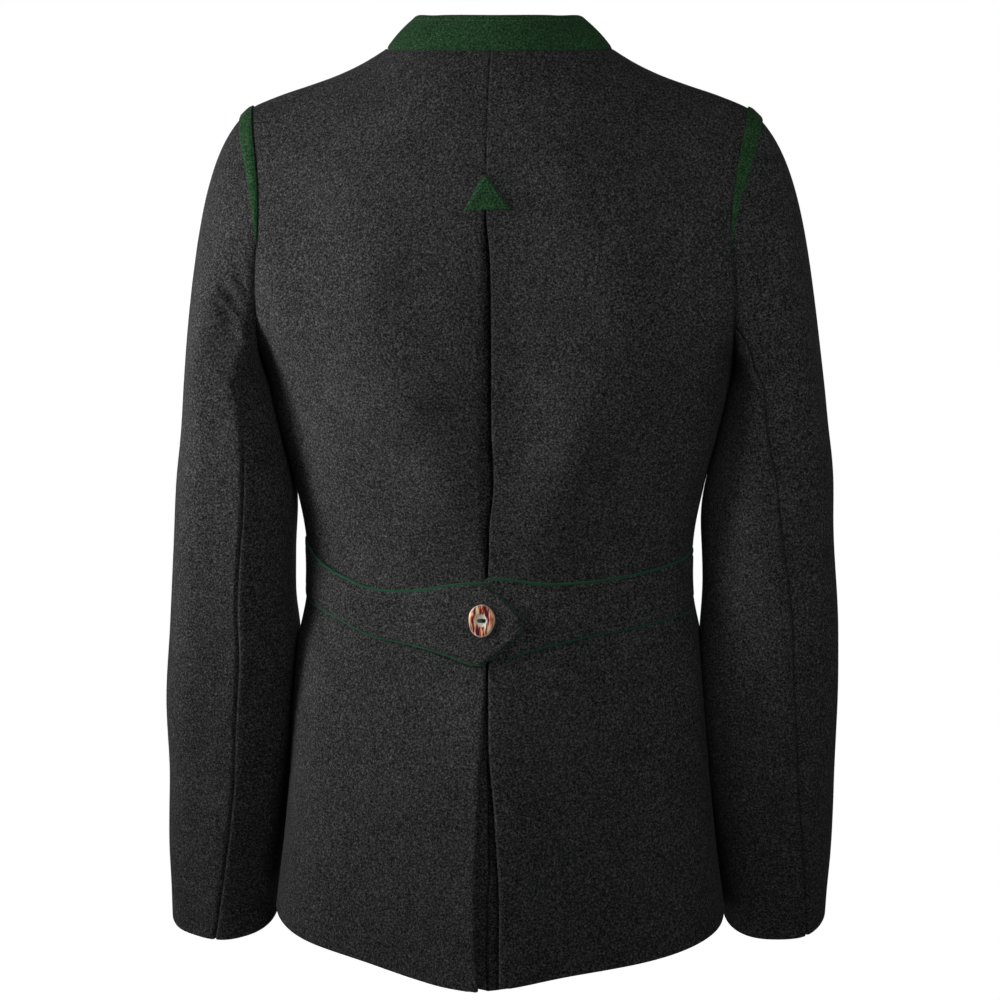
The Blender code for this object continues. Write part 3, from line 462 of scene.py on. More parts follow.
# distance from the centre, height of the shoulder seam
RIDGE = (
    (0.0000, 0.0320), (0.0300, 0.0290), (0.0640, 0.0165), (0.0850, 0.0010), (0.1040, -0.0105),
    (0.1200, -0.0180), (0.1420, -0.0260), (0.1630, -0.0330), (0.1820, -0.0405), (0.2000, -0.0490),
    (0.2400, -0.0700),
)
RIDGE_Y = 0.006
# how far below the shoulder seam the cloth is rounded over it, and how square that curve is
ROUNDING = {1: 0.18, -1: 0.20}
SQUARENESS = 1.6
# width, height and path (x, z) of each soft ridge or trough in the back (1) and the fronts (-1)
RELIEF = {
    1: (
        (0.042, 0.0105, (0.100, -0.100), (0.090, -0.190), (0.076, -0.250)),
        (0.036, 0.0050, (0.024, -0.112), (0.022, -0.190), (0.022, -0.330)),
        (0.034, 0.0040, (-0.055, -0.080), (-0.055, -0.330)),
        (0.026, 0.0034, (0.056, -0.262), (0.036, -0.325)),
        (0.036, 0.0098, (-0.106, -0.100), (-0.106, -0.215), (-0.082, -0.270)),
        (0.040, 0.0130, (0.158, -0.455), (0.165, -0.660)),
        (0.060, 0.0060, (-0.010, -0.455), (-0.010, -0.690)),
        (0.028, 0.0030, (-0.066, -0.290), (-0.034, -0.350)),
        (0.024, 0.0100, (0.168, -0.130), (0.174, -0.222)),
        (0.024, 0.0110, (-0.168, -0.130), (-0.176, -0.222)),
        (0.016, -0.0014, (0.128, -0.250), (0.082, -0.318)),
        (0.014, 0.0012, (0.112, -0.300), (0.060, -0.352)),
        (0.015, -0.0013, (-0.132, -0.300), (-0.088, -0.352)),
        (0.020, 0.0016, (0.076, -0.455), (0.064, -0.560)),
        (0.017, -0.0012, (0.116, -0.470), (0.104, -0.585)),
        (0.022, 0.0022, (-0.058, -0.452), (-0.104, -0.545)),
        (0.026, -0.0020, (-0.132, -0.440), (-0.138, -0.600)),
    ),
    -1: (
        (0.036, 0.0050, (0.082, -0.150), (0.080, -0.240)),
        (0.036, 0.0046, (-0.084, -0.150), (-0.080, -0.245)),
        (0.016, -0.0014, (0.130, -0.262), (0.080, -0.318)),
        (0.015, -0.0012, (-0.126, -0.275), (-0.086, -0.330)),
        (0.022, 0.0020, (0.088, -0.450), (0.100, -0.560)),
        (0.024, 0.0022, (-0.080, -0.455), (-0.098, -0.575)),
    ),
}
# width, height of the ridge where the two skirt panels meet, heights where it starts and is full
SKIRT_RIDGE = (0.100, 0.0100, -0.415, -0.500)
SIDE_FADE = 6.0
SLOPE_STEP = 0.0005


def ridge_height(x):
    """Height of the shoulder seam at a distance from the centre."""
    return smooth(np.abs(x), RIDGE)


def relief(x, z, face):
    """Soft folds: height times e to the minus square of the distance from the path over the width."""
    total = np.zeros(np.broadcast(x, z).shape)
    for width, height, *path in RELIEF[face]:
        nearest = np.full(total.shape, np.inf)
        for (x0, z0), (x1, z1) in zip(path[:-1], path[1:]):
            dx, dz = x1 - x0, z1 - z0
            t = np.clip(((x - x0) * dx + (z - z0) * dz) / (dx * dx + dz * dz), 0.0, 1.0)
            nearest = np.minimum(nearest, (x - x0 - t * dx) ** 2 + (z - z0 - t * dz) ** 2)
        total += height * np.exp(-nearest / width ** 2)
    if face > 0:
        width, height, start, end = SKIRT_RIDGE
        total += height * np.clip(1.0 - np.abs(x) / width, 0.0, 1.0) ** 2 * ease((start - z) / (start - end))
    return total


def body_y(x, z, face):
    """Depth of the cloth, back (face 1) or front (-1): a rounded oblong, drawn in to the seam at the top.

    The oblong's depth is deep times (1 - (x / wide) ** power) ** (1 / power), and the soft folds are
    added to it, less and less towards the side. Near the shoulder the sum is multiplied by a curve that
    falls to nothing at the seam, as a rounded edge does."""
    wide = smooth(z, BODY, 1)
    deep = smooth(z, BODY, 2 if face > 0 else 3)
    ratio = np.clip(np.abs(x) / wide, 0.0, 1.0)
    full = deep * (1.0 - ratio ** POWER) ** (1.0 / POWER)
    full = full + relief(x, z, face) * (1.0 - ratio ** SIDE_FADE)
    drop = np.clip((ridge_height(x) - z) / ROUNDING[face], 0.0, 1.0)
    return RIDGE_Y + (face * full - RIDGE_Y) * np.sqrt(1.0 - (1.0 - drop) ** SQUARENESS)


def on_body(x, z, face):
    """Points of the cloth's outer side."""
    return np.stack([x, body_y(x, z, face), z], -1)


def body_normal(x, z, face):
    """Outward unit normal: the cross product of the surface's two slopes, found by small steps."""
    limit = smooth(z, BODY) - 2.0 * SLOPE_STEP
    xc = np.clip(x, -limit, limit)
    zc = np.minimum(z, ridge_height(xc) - 2.0 * SLOPE_STEP)
    slope_x, slope_z = (
        (body_y(xc + dx, zc + dz, face) - body_y(xc - dx, zc - dz, face)) / (2.0 * SLOPE_STEP)
        for dx, dz in ((SLOPE_STEP, 0.0), (0.0, SLOPE_STEP)))
    return unit(face * np.stack([-slope_x, np.ones_like(slope_x), -slope_z], -1))


print("chest", round(2 * float(smooth(-0.235, BODY)), 3), "m wide, waist", round(2 * float(smooth(-0.415, BODY)), 3))

# %% Panels on the body
UNDERARM_Z = -0.235
HALF_UNDERARM = 0.180
SHOULDER_X = 0.1865
NECK_HALF = 0.085
NECK_SIDE_Z = 0.001
NECK_Z = {1: 0.0, -1: -0.065}
U_NECK = 0.40
# share of the way down the armhole, half width of the panel there
ARMHOLE = {
    1: ((0.0, 0.1865), (0.09, 0.1835), (0.245, 0.1782), (0.453, 0.1750), (0.68, 0.1778), (0.86, 0.1778),
        (1.0, 0.1800)),
    -1: ((0.0, 0.1865), (0.09, 0.1820), (0.245, 0.1755), (0.453, 0.1710), (0.71, 0.1718), (0.91, 0.1770),
         (1.0, 0.1800)),
}
# for face and side: share of the way from the centre to the side seam, height of the hem
HEM = {
    (1, 1): ((0.0, -0.6900), (0.074, -0.6882), (0.159, -0.6842), (0.314, -0.6757), (0.550, -0.6672),
             (0.765, -0.6620), (1.0, -0.6585)),
    (1, -1): ((0.0, -0.6872), (0.132, -0.6817), (0.277, -0.6780), (0.389, -0.6757), (0.525, -0.6730),
              (0.725, -0.6691), (1.0, -0.6650)),
    (-1, 1): ((0.0, -0.6740), (0.3, -0.6725), (0.6, -0.6670), (1.0, -0.6585)),
    (-1, -1): ((0.0, -0.6740), (0.3, -0.6730), (0.6, -0.6695), (1.0, -0.6650)),
}


def top_curve(u, face):
    """Half width and height along the top of a panel: a quarter ellipse for the neck, then the shoulder seam."""
    a = np.clip(u / U_NECK, 0.0, 1.0) * math.pi / 2.0
    neck_z = NECK_SIDE_Z + (NECK_Z[face] - NECK_SIDE_Z) * np.cos(a)
    seam_x = NECK_HALF + (SHOULDER_X - NECK_HALF) * np.clip((u - U_NECK) / (1.0 - U_NECK), 0.0, 1.0)
    on_neck = u <= U_NECK
    return np.where(on_neck, NECK_HALF * np.sin(a), seam_x), np.where(on_neck, neck_z, ridge_height(seam_x))


def spread(u):
    """Share of the half width at share u of the way round: sin(u * pi / 2) ** (2 / power)."""
    return np.sin(u * math.pi / 2.0) ** (2.0 / POWER)


def share_round(x, z):
    """The other way: share of the way round, with the sign of x, at a place across the body."""
    ratio = np.clip(np.abs(x) / smooth(z, BODY), 0.0, 1.0)
    return np.arcsin(ratio ** (POWER / 2.0)) / (math.pi / 2.0) * np.sign(x)


def body_xz(u, v, face, side):
    """Half width and height on a panel: v runs 0 to 1 down to the underarm, and 1 to 2 down to the hem."""
    w = np.clip(v, 0.0, 1.0)
    top_x, top_z = top_curve(u, face)
    high_x = top_x * (1.0 - w) + HALF_UNDERARM * spread(u) * w
    high_x = high_x * smooth(w, ARMHOLE[face]) / (SHOULDER_X * (1.0 - w) + HALF_UNDERARM * w)
    high_z = top_z + (UNDERARM_Z - top_z) * w
    low_z = UNDERARM_Z + (smooth(u, HEM[(face, side)]) - UNDERARM_Z) * np.clip(v - 1.0, 0.0, 1.0)
    low_x = smooth(low_z, BODY, 1) * spread(u)
    return np.where(v <= 1.0, high_x, low_x), np.where(v <= 1.0, high_z, low_z)


def armhole_loop(f):
    """The armhole's edge on the wearer's left; f runs from the shoulder down the back and up the front."""
    w = np.linspace(0.0, 1.0, 240) ** 1.5
    halves = []
    for face, start in ((1, 0.0), (-1, 0.5)):
        line = on_body(*body_xz(np.ones_like(w), w, face, 1), face)[::face]
        run = running(line[:, None], 0)[:, 0]
        halves.append(resampled(np.clip((f - start) * 2.0, 0.0, 1.0), run / run[-1], line))
    return np.where((f <= 0.5)[..., None], *halves)


print("armhole depth", round(float(ridge_height(SHOULDER_X)) - UNDERARM_Z, 3), "m")

# %% [markdown]
# ## Cloth
#
# Real cloth has a thickness, and its cut edges are soft. A shell could be left to the
# Solidify modifier, but a wall built by hand closes its edge with a small half round,
# which is what a folded hem or a raw felt edge shows when light runs along it. Points
# stand closer together near the edges, where the seams are.

# %% Walls of cloth
CLOTH = 0.0018
FELT = 0.0026
TRIM = 0.0012
LAYER_GAP = 0.0006
# shares of the half circle at which the edge has its three lines of points
EDGE_TURNS = (0.25, 0.5, 0.75)


def stations(length, step, fine=0.0006, reach=0.004):
    """Shares from 0 to 1 of a length, step apart in the middle and fine apart near both ends.

    The number of points per metre is a constant plus a falling exponential at each end; its running
    total, read backwards, gives the places."""
    d = np.linspace(0.0, length, 3001)
    extra = np.exp(-d / reach) + np.exp((d - length) / reach)
    density = 1.0 / step + (1.0 / fine - 1.0 / step) * extra
    total = np.concatenate([[0.0], np.cumsum((density[1:] + density[:-1]) / 2.0 * np.diff(d))])
    return np.interp(np.linspace(0.0, total[-1], int(total[-1]) + 2), total, d) / length


def edge_distances(points):
    """Distances of every grid point from the first and last line and from the top and bottom line."""
    across, down = running(points, 0), running(points, 1)
    return {"first": across, "last": across[-1:] - across, "top": down, "bottom": down[:, -1:] - down}


def cloth_wall(points, normals, thickness):
    """Points, faces and UV numbers of a closed wall whose outer side is the grid.

    The inner side lies one thickness behind. Round the border three lines of points follow half a
    circle about the middle of the wall, so the edge is round and the faces meet without a gap."""
    n, m = points.shape[:2]
    out = np.zeros_like(points)
    out[0] += unit(points[0] - points[1])
    out[-1] += unit(points[-1] - points[-2])
    out[:, 0] += unit(points[:, 0] - points[:, 1])
    out[:, -1] += unit(points[:, -1] - points[:, -2])
    thick = np.broadcast_to(np.asarray(thickness, float), (n, m))[..., None]
    middle = points - normals * thick / 2.0
    index = np.arange(n * m).reshape(n, m)
    loop = np.concatenate([index[:, 0], index[-1, 1:], index[-2::-1, -1], index[0, -2:0:-1]])
    outer, inner, middle, normal, out = (
        a.reshape(-1, 3) for a in (points, points - normals * thick, middle, normals, unit(out)))
    half = thick.reshape(-1, 1)[loop] / 2.0
    rings = [middle[loop] + half * (normal[loop] * math.cos(t * math.pi) + out[loop] * math.sin(t * math.pi))
             for t in EDGE_TURNS]
    quads = grid_faces(n, m)
    bands = [loop] + [2 * n * m + k * len(loop) + np.arange(len(loop)) for k in range(len(EDGE_TURNS))]
    bands.append(loop + n * m)
    faces = [quads, quads[:, ::-1] + n * m]
    for a, b in zip(bands[:-1], bands[1:]):
        faces.append(np.stack([np.roll(a, -1), a, b, np.roll(b, -1)], 1))
    faces = np.concatenate(faces)
    first = outer[quads[:, 1]] - outer[quads[:, 0]]
    second = outer[quads[:, 3]] - outer[quads[:, 0]]
    if np.sum(np.cross(first, second) * normal[quads[:, 0]]) < 0.0:
        faces = faces[:, ::-1]
    uv = np.stack([running(points, 0), -running(points, 1)], -1).reshape(-1, 2)
    return np.concatenate([outer, inner] + rings), faces, np.concatenate([uv, uv] + [uv[loop]] * len(rings))


def finished_piece(name, verts, faces, uv, material, slot, *solids):
    """Make the mesh, lay its UV map, parent it to the root, and hide the solids that it stands for."""
    piece = mesh_object(name, verts, faces, material)
    corner = np.empty(len(piece.data.loops), np.int32)
    piece.data.loops.foreach_get("vertex_index", corner)
    layer = piece.data.uv_layers.new(name="cloth")
    layer.data.foreach_set("uv", np.asarray(uv, np.float32)[corner].ravel())
    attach(piece, "root")
    if solids:
        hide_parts(*solids)
    print(name, len(verts), "points,", [round(v, 3) for v in piece.dimensions], "m")
    return piece


# %% [markdown]
# Creases come where the body bends: at the armpit, over the hip, at the elbow. Each
# one is written as a short line in space with a width and a depth. The cloth sinks
# along the line and rises a little on both sides of it, and the effect dies away
# towards its ends. Placing them one by one keeps the front and the back of the jacket
# calm where it is calm, which a cloth simulation of a whole garment seldom does.

# %% Creases
# how much each direction counts in the distance from a crease, and how far the cloth rises beside it
CREASE_SPACE = np.array([1.0, 0.25, 1.0])
CREASE_SHOULDERS = 1.1


def creased(points, normals, creases):
    """Move a grid along its normals by every crease.

    For a point at distance d from the line and share t along it, the move is depth times
    (1 - shoulders q) e^-q times (1 - (2 t - 1) ** 4), with q the square of d over the width.
    Depth counts only a quarter in d, so that a line need not lie exactly on the cloth."""
    move = np.zeros(points.shape[:2])
    flat = points * CREASE_SPACE
    for start, end, width, depth in creases:
        start = np.array(start) * CREASE_SPACE
        line = np.array(end) * CREASE_SPACE - start
        t = np.clip((flat - start) @ line / (line @ line), 0.0, 1.0)
        q = np.sum((flat - start - t[..., None] * line) ** 2, -1) / width ** 2
        move -= depth * (1.0 - CREASE_SHOULDERS * q) * np.exp(-q) * (1.0 - (2.0 * t - 1.0) ** 4)
    return points + normals * move[..., None]


# %% [markdown]
# Sewing shows in two ways: the cloth sinks along the line, and short yarns lie on it.
# Each stitch is a closed bead of yarn that dives into the cloth at both ends. They are
# modelled one by one and not drawn into the colour, because from a few metres away it
# is the small shadow beside each yarn that the eye reads as a stitch.

# %% Seams and stitches
YARN_SIDES = 6
# corner numbers of the two quads that close a bead at its start, and at its end
BEAD_START = ((5, 4, 3, 0), (3, 2, 1, 0))
BEAD_END = ((0, 1, 2, 3), (3, 4, 5, 0))
# height of a stitch's middle, and how far its ends dive, in radii of the yarn
STITCH_HEIGHT, STITCH_DIVE = 0.9, 1.6


def seam_roll(points, normals, edges, depth, width):
    """Let the cloth roll in along its sewn edges: a bell-shaped dip beside each named edge."""
    distance = edge_distances(points)
    dip = sum(bell(distance[edge], width) for edge in edges)
    return points - normals * (depth * np.clip(dip, 0.0, 1.0))[..., None]


def stitch_groove(points, normals, edge, offset, depth=0.00025, width=0.0008):
    """Press a line of sewing into the cloth at an offset from an edge."""
    distance = edge_distances(points)[edge]
    return points - normals * (depth * bell(distance - offset, width))[..., None]


def line_beside(points, edge, offset):
    """The line on a grid that lies at an offset from one of its edges, found by linear steps."""
    if edge in ("first", "last"):
        points = points.transpose(1, 0, 2)
    if edge in ("last", "bottom"):
        points = points[:, ::-1]
    down = running(points, 1)
    j = np.clip((down < offset).sum(1) - 1, 0, down.shape[1] - 2)
    i = np.arange(len(points))
    share = ((offset - down[i, j]) / (down[i, j + 1] - down[i, j]))[:, None]
    return points[i, j] * (1.0 - share) + points[i, j + 1] * share


def tube_faces(rings, sides):
    """Corner numbers of the quads of a closed tube: rings of points, with so many sides to each."""
    index = np.arange(rings * sides).reshape(rings, sides)
    after = np.roll(index, -1, 1)
    return np.stack([index[:-1], after[:-1], after[1:], index[1:]], -1).reshape(-1, 4)


def taper(t, power):
    """Thickness along a bead while t goes from -1/2 to 1/2: full in the middle, a seventh at the ends."""
    return np.sqrt(1.02 - (2.0 * t) ** power)


def beads(centre, up, thick):
    """Closed beads of yarn: a ring of points round every centre point, at the bead's thickness there."""
    count, length = centre.shape[:2]
    tangent = unit(np.gradient(centre, axis=1))
    side = np.cross(up, tangent)
    turn = 2.0 * math.pi * np.arange(YARN_SIDES) / YARN_SIDES
    ring = side[:, :, None] * np.cos(turn)[:, None] + up[:, :, None] * np.sin(turn)[:, None]
    verts = (centre[:, :, None] + ring * thick[None, :, None, None]).reshape(-1, 3)
    faces = np.concatenate([tube_faces(length, YARN_SIDES), BEAD_START,
                            np.array(BEAD_END) + YARN_SIDES * (length - 1)])
    faces = faces[None] + YARN_SIDES * length * np.arange(count)[:, None, None]
    run = running(centre.transpose(1, 0, 2), 0).T
    uv = np.stack(np.broadcast_arrays(run[:, :, None], turn * thick.max()), -1).reshape(-1, 2)
    return verts, faces.reshape(-1, 4), uv


def stitches(name, path, normals, material, slot, length=0.0024, gap=0.0011, radius=0.00023):
    """A row of machine stitches along a path: short beads of yarn that dive into the cloth at both ends."""
    run = running(path[:, None], 0)[:, 0]
    at = (np.arange(int(run[-1] / (length + gap))) + 0.5) * (length + gap)
    t = np.linspace(-0.5, 0.5, 6)
    along = at[:, None] + t * length
    centre, up = resampled(along, run, path), unit(resampled(along, run, normals))
    lift = radius * (STITCH_HEIGHT - STITCH_DIVE * (2.0 * t) ** 2)
    verts, faces, uv = beads(centre + up * lift[None, :, None], up, radius * taper(t, 4))
    return finished_piece(name, verts, faces, uv, material, slot)


# %% [markdown]
# ## The back and its pleat
#
# Loden jackets have a box pleat down the middle of the back, so that the wearer can
# reach forward. The two back panels are pressed into folds that nearly meet, turn
# round and run behind themselves, and a strip of the same cloth closes the gap.
# The fold is made of real cloth here: columns of the grid go backwards behind the
# panel, round half a circle and out over the back, so the slit is dark because
# light cannot reach into it, not because anything is painted.

# %% Back panels
# height, left edge and right edge of the slit
SLIT = (
    (-0.720, 0.0066, -0.0096), (-0.6875, 0.0069, -0.0095), (-0.661, 0.0085, -0.0094), (-0.615, 0.0088, -0.0091),
    (-0.590, 0.0086, -0.0074), (-0.5545, 0.0075, -0.0049), (-0.514, 0.0058, -0.0010), (-0.477, 0.0036, 0.0002),
    (-0.450, 0.0032, 0.0010), (-0.420, 0.0034, 0.0016), (-0.389, 0.0042, 0.0024), (-0.371, 0.0056, 0.0014),
    (-0.343, 0.0068, 0.0002), (-0.328, 0.0072, -0.0020), (-0.274, 0.0072, -0.0017), (-0.220, 0.0056, -0.0020),
    (-0.1925, 0.0044, -0.0019), (-0.141, 0.0040, -0.0004), (-0.1176, 0.0033, 0.0023), (-0.100, 0.0029, 0.0031),
    (-0.085, 0.0029, 0.0034), (0.000, 0.0028, 0.0032), (0.040, 0.0028, 0.0032),
)
FOLD_RADIUS = CLOTH + LAYER_GAP / 2.0
# the pleat runs behind the panel by its return, and the seam above it by a narrower one
PLEAT_TOP_Z = -0.090
PLEAT_TOP_RUN = 0.03
PLEAT_RETURN = 0.040
SEAM_RETURN = 0.012
HEM_TURN = 0.0015
# share of the way round over which the centre edge is moved
EDGE_FADE = {1: 0.22, -1: 0.10}
# columns of the return and of the fold, and those with a single layer at the hem
RETURN_COLUMNS = 12
FOLD_COLUMNS = 9
SINGLE_COLUMNS = 24
HEM_STITCH = 0.0080
HEM_RISE = 0.001
HEM_EXTRA = 0.5
# width of a panel and its lengths above and below the underarm, for the spacing of points
PANEL_WIDTH = 0.235
PANEL_LENGTHS = (0.235, 0.445)
ROW_FINE = 0.0005
ROW_REACH = 0.010
PANEL_ROLL = (0.0005, 0.0018)


def rows_down(upper, lower, step):
    """Rows down a piece: 0 to 1 over its upper length, 1 to 2 over its lower one, closer at both ends."""
    d = stations(upper + lower, step, ROW_FINE, ROW_REACH) * (upper + lower)
    return np.where(d < upper, d / upper, 1.0 + (d - upper) / lower)


def body_panel(u, v, face, side, edge):
    """Points and normals of a panel whose centre edge is moved sideways by a function of the height."""
    u, v = np.meshgrid(u, v, indexing="ij")
    half, z = body_xz(u, v, face, side)
    x = side * half + edge(z) * np.clip(1.0 - u / EDGE_FADE[face], 0.0, 1.0) ** 1.5
    normals = body_normal(x, z, face)
    border = ((u > 0.9999) & (v >= 1.0)) | ((v < 1e-6) & (u >= U_NECK - 1e-6))
    normals[..., 1] = np.where(border, 0.0, normals[..., 1])
    return on_body(x, z, face), unit(normals)


def back_panel(side):
    """Grid of a back panel with its fold: the return behind, half a turn, then the panel itself."""
    v = rows_down(*PANEL_LENGTHS, 0.0034)

    def edge(z):
        return smooth(z, SLIT, 1 if side > 0 else 2) + side * FOLD_RADIUS

    points, normals = body_panel(stations(PANEL_WIDTH, 0.0032, 0.0008), v, 1, side, edge)
    z, start, normal = points[0, :, 2], points[0], normals[0]
    across = unit(np.array([side, 0.0, 0.0]) - normal * (side * normal[:, :1]))
    wide = SEAM_RETURN + (PLEAT_RETURN - SEAM_RETURN) * ease((PLEAT_TOP_Z - z) / PLEAT_TOP_RUN + 1.0)
    x = edge(z) + side * wide * np.linspace(1.0, 0.06, RETURN_COLUMNS)[:, None]
    hem = HEM[(1, side)]
    drop = smooth(np.abs(share_round(x, z)), hem) - smooth(0.0, hem) + HEM_TURN
    behind_z = z + drop * np.clip(v - 1.0, 0.0, 1.0)
    turned = body_normal(x, behind_z, 1)
    behind = on_body(x, behind_z, 1) - turned * 2.0 * FOLD_RADIUS
    phi = (np.linspace(1.0, 0.1, FOLD_COLUMNS) * math.pi)[:, None, None]
    fold = start - across * FOLD_RADIUS * np.sin(phi) - normal * FOLD_RADIUS * (1.0 - np.cos(phi))
    fold_normals = np.cos(phi) * normal - np.sin(phi) * across
    return np.concatenate([behind, fold, points]), np.concatenate([-turned, fold_normals, normals])


def hem_thickness(points, single=0):
    """One cloth thick, and half as thick again where the hem is turned up, but not in the single columns."""
    near = ease((HEM_STITCH + HEM_RISE - edge_distances(points)["bottom"]) / HEM_RISE)
    near[:single] = 0.0
    return CLOTH * (1.0 + HEM_EXTRA * near)


# start, end, width and depth of each crease, in metres
BACK_CREASES = {
    1: (
        ((0.163, 0.072, -0.176), (0.166, 0.066, -0.208), 0.0072, 0.0022),
        ((0.172, 0.062, -0.130), (0.160, 0.070, -0.158), 0.0070, 0.0010),
        ((0.160, 0.062, -0.262), (0.128, 0.092, -0.296), 0.0100, 0.0012),
        ((0.118, 0.086, -0.356), (0.070, 0.100, -0.376), 0.008, 0.0007),
    ),
    -1: (
        ((-0.162, 0.070, -0.200), (-0.146, 0.085, -0.240), 0.009, 0.0014),
        ((-0.158, 0.062, -0.275), (-0.130, 0.090, -0.305), 0.010, 0.0013),
        ((-0.112, 0.088, -0.360), (-0.064, 0.100, -0.374), 0.008, 0.0006),
    ),
}
for side, word in SIDES:
    points, normals = back_panel(side)
    points = creased(points, normals, BACK_CREASES[side])
    points = seam_roll(points, normals, ("last", "top"), *PANEL_ROLL)
    points = stitch_groove(points, normals, "bottom", HEM_STITCH)
    thickness = hem_thickness(points, SINGLE_COLUMNS)
    piece = finished_piece("cloth_back_" + word, *cloth_wall(points, normals, thickness), loden, "loden",
                           "panel_back_" + word)

# %% Strip behind the pleat
UNDERLAY_TOP_Z = -0.100
UNDERLAY_LENGTH = 0.5915
UNDERLAY_HALF = PLEAT_RETURN - 0.001
UNDERLAY_COLUMNS = 29
UNDERLAY_GAP = 0.0004
# how much higher the sides of its hem lie than the middle, and the height of the hem
UNDERLAY_RISE = 0.012
UNDERLAY_HEM_Z = -0.69
# height, how far the middle of the strip lies behind its edges
RECESS = ((-0.720, 0.0080), (-0.600, 0.0080), (-0.450, 0.0060), (-0.370, 0.0080), (-0.250, 0.0120),
          (-0.160, 0.0100), (-0.100, 0.0010))

z = UNDERLAY_TOP_Z - UNDERLAY_LENGTH * stations(UNDERLAY_LENGTH, 0.0040, 0.0006)
s, z = np.meshgrid(np.linspace(-1.0, 1.0, UNDERLAY_COLUMNS), z, indexing="ij")
z = z + UNDERLAY_RISE * s ** 2 * np.clip((UNDERARM_Z - z) / (UNDERARM_Z - UNDERLAY_HEM_Z), 0.0, 1.0)
x = (smooth(z, SLIT, 1) + smooth(z, SLIT, 2)) / 2.0 + s * UNDERLAY_HALF
normals = body_normal(x, z, 1)
depth = 2.0 * CLOTH + 2.0 * LAYER_GAP + smooth(z, RECESS) * (1.0 - s ** 2) + UNDERLAY_GAP
points = on_body(x, z, 1) - normals * depth[..., None]
underlay = finished_piece("cloth_pleat_underlay", *cloth_wall(points, normals, CLOTH), loden, "loden",
                          "pleat_underlay")

# %% [markdown]
# ## The fronts
#
# The wearer's left front laps over the right one and closes on a row of buttons. It
# is the same panel as the back with other depths and another neckline. The lap is a
# smooth lift of one cloth and a gap, so the edge casts a true thin shadow.

# %% Front panels
# how far the centre edge of each front goes past the middle
CENTRE_EDGE = {1: -0.018, -1: 0.014}
# the left front lies on the right one as far as the first place, and is down again at the second
OVERLAP_FULL_X = 0.016
OVERLAP_END_X = 0.034
FRONT_STITCH = 0.0060
# start, end, width and depth of each crease
FRONT_CREASES = {
    1: (
        ((0.160, -0.070, -0.215), (0.120, -0.100, -0.275), 0.013, 0.0018),
        ((0.140, -0.082, -0.348), (0.085, -0.100, -0.380), 0.011, 0.0012),
    ),
    -1: (
        ((-0.158, -0.070, -0.222), (-0.124, -0.098, -0.290), 0.012, 0.0016),
        ((-0.136, -0.084, -0.338), (-0.078, -0.100, -0.372), 0.012, 0.0011),
    ),
}
for side, word in SIDES:
    points, normals = body_panel(stations(PANEL_WIDTH, 0.0038, 0.0008), rows_down(*PANEL_LENGTHS, 0.0040), -1, side,
                                 lambda z: np.full_like(z, CENTRE_EDGE[side]))
    points = creased(points, normals, FRONT_CREASES[side])
    if side > 0:
        lap = ease((OVERLAP_END_X - points[..., 0]) / (OVERLAP_END_X - OVERLAP_FULL_X))
        points = points + normals * ((CLOTH + LAYER_GAP) * lap)[..., None]
    points = seam_roll(points, normals, ("last", "top"), *PANEL_ROLL)
    points = stitch_groove(points, normals, "bottom", HEM_STITCH)
    points = stitch_groove(points, normals, "first", FRONT_STITCH)
    piece = finished_piece("cloth_front_" + word, *cloth_wall(points, normals, CLOTH), loden, "loden",
                           "panel_front_" + word)

# %% [markdown]
# ## The sleeves
#
# A tailored sleeve is a bent tube of two pieces, a wide top sleeve and a narrow under
# sleeve, set into the armhole. The tube is drawn as tilted sections that lean forward
# towards the wrist. The cap, between the armhole and the biceps, is a Hermite curve
# for every station round the sleeve: it starts on the armhole, where a tangent lifts
# it off the shoulder, and ends on the first section. Where the arm hangs against
# the body, a smooth maximum flattens the tube on it. At the armhole two more lines of
# points run on under the body's edge, as a seam allowance does, so no light gets in.

# %% Sleeve surface
BICEP_Z = -0.247
CUFF_Z = -0.678
SLEEVE_POWER = 2.3
SLEEVE_CLEARANCE = -0.0004
CONTACT_ROUNDING = 0.0012
# height, centre x, centre y, half width, half depth, pitch
SLEEVE = (
    (-0.690, 0.2155, -0.0600, 0.0379, 0.0500, 0.25), (-0.660, 0.2150, -0.0520, 0.0389, 0.0515, 0.25),
    (-0.620, 0.2135, -0.0400, 0.0424, 0.0545, 0.22), (-0.560, 0.2106, -0.0215, 0.0463, 0.0585, 0.17),
    (-0.498, 0.2087, -0.0065, 0.0492, 0.0610, 0.10), (-0.440, 0.2052, 0.0040, 0.0497, 0.0620, 0.05),
    (-0.380, 0.2033, 0.0085, 0.0488, 0.0640, 0.02), (-0.330, 0.2028, 0.0080, 0.0468, 0.0670, 0.0),
    (-0.285, 0.2057, 0.0060, 0.0389, 0.0710, 0.0), (-0.247, 0.2096, 0.0040, 0.0330, 0.0750, 0.0),
)
# height, how much fuller the sleeve is towards the body
FULLNESS = {
    1: ((-0.700, 0.0090), (-0.640, 0.0080), (-0.560, 0.0040), (-0.490, 0.0030), (-0.450, 0.0010),
        (-0.420, -0.0040), (-0.390, -0.0050), (-0.350, -0.0038), (-0.320, -0.0028), (-0.290, 0.0), (-0.220, 0.0)),
    -1: ((-0.700, 0.0040), (-0.640, 0.0060), (-0.560, 0.0080), (-0.500, 0.0090), (-0.450, 0.0080),
         (-0.400, 0.0035), (-0.350, 0.0045), (-0.300, 0.0060), (-0.220, 0.0040)),
}
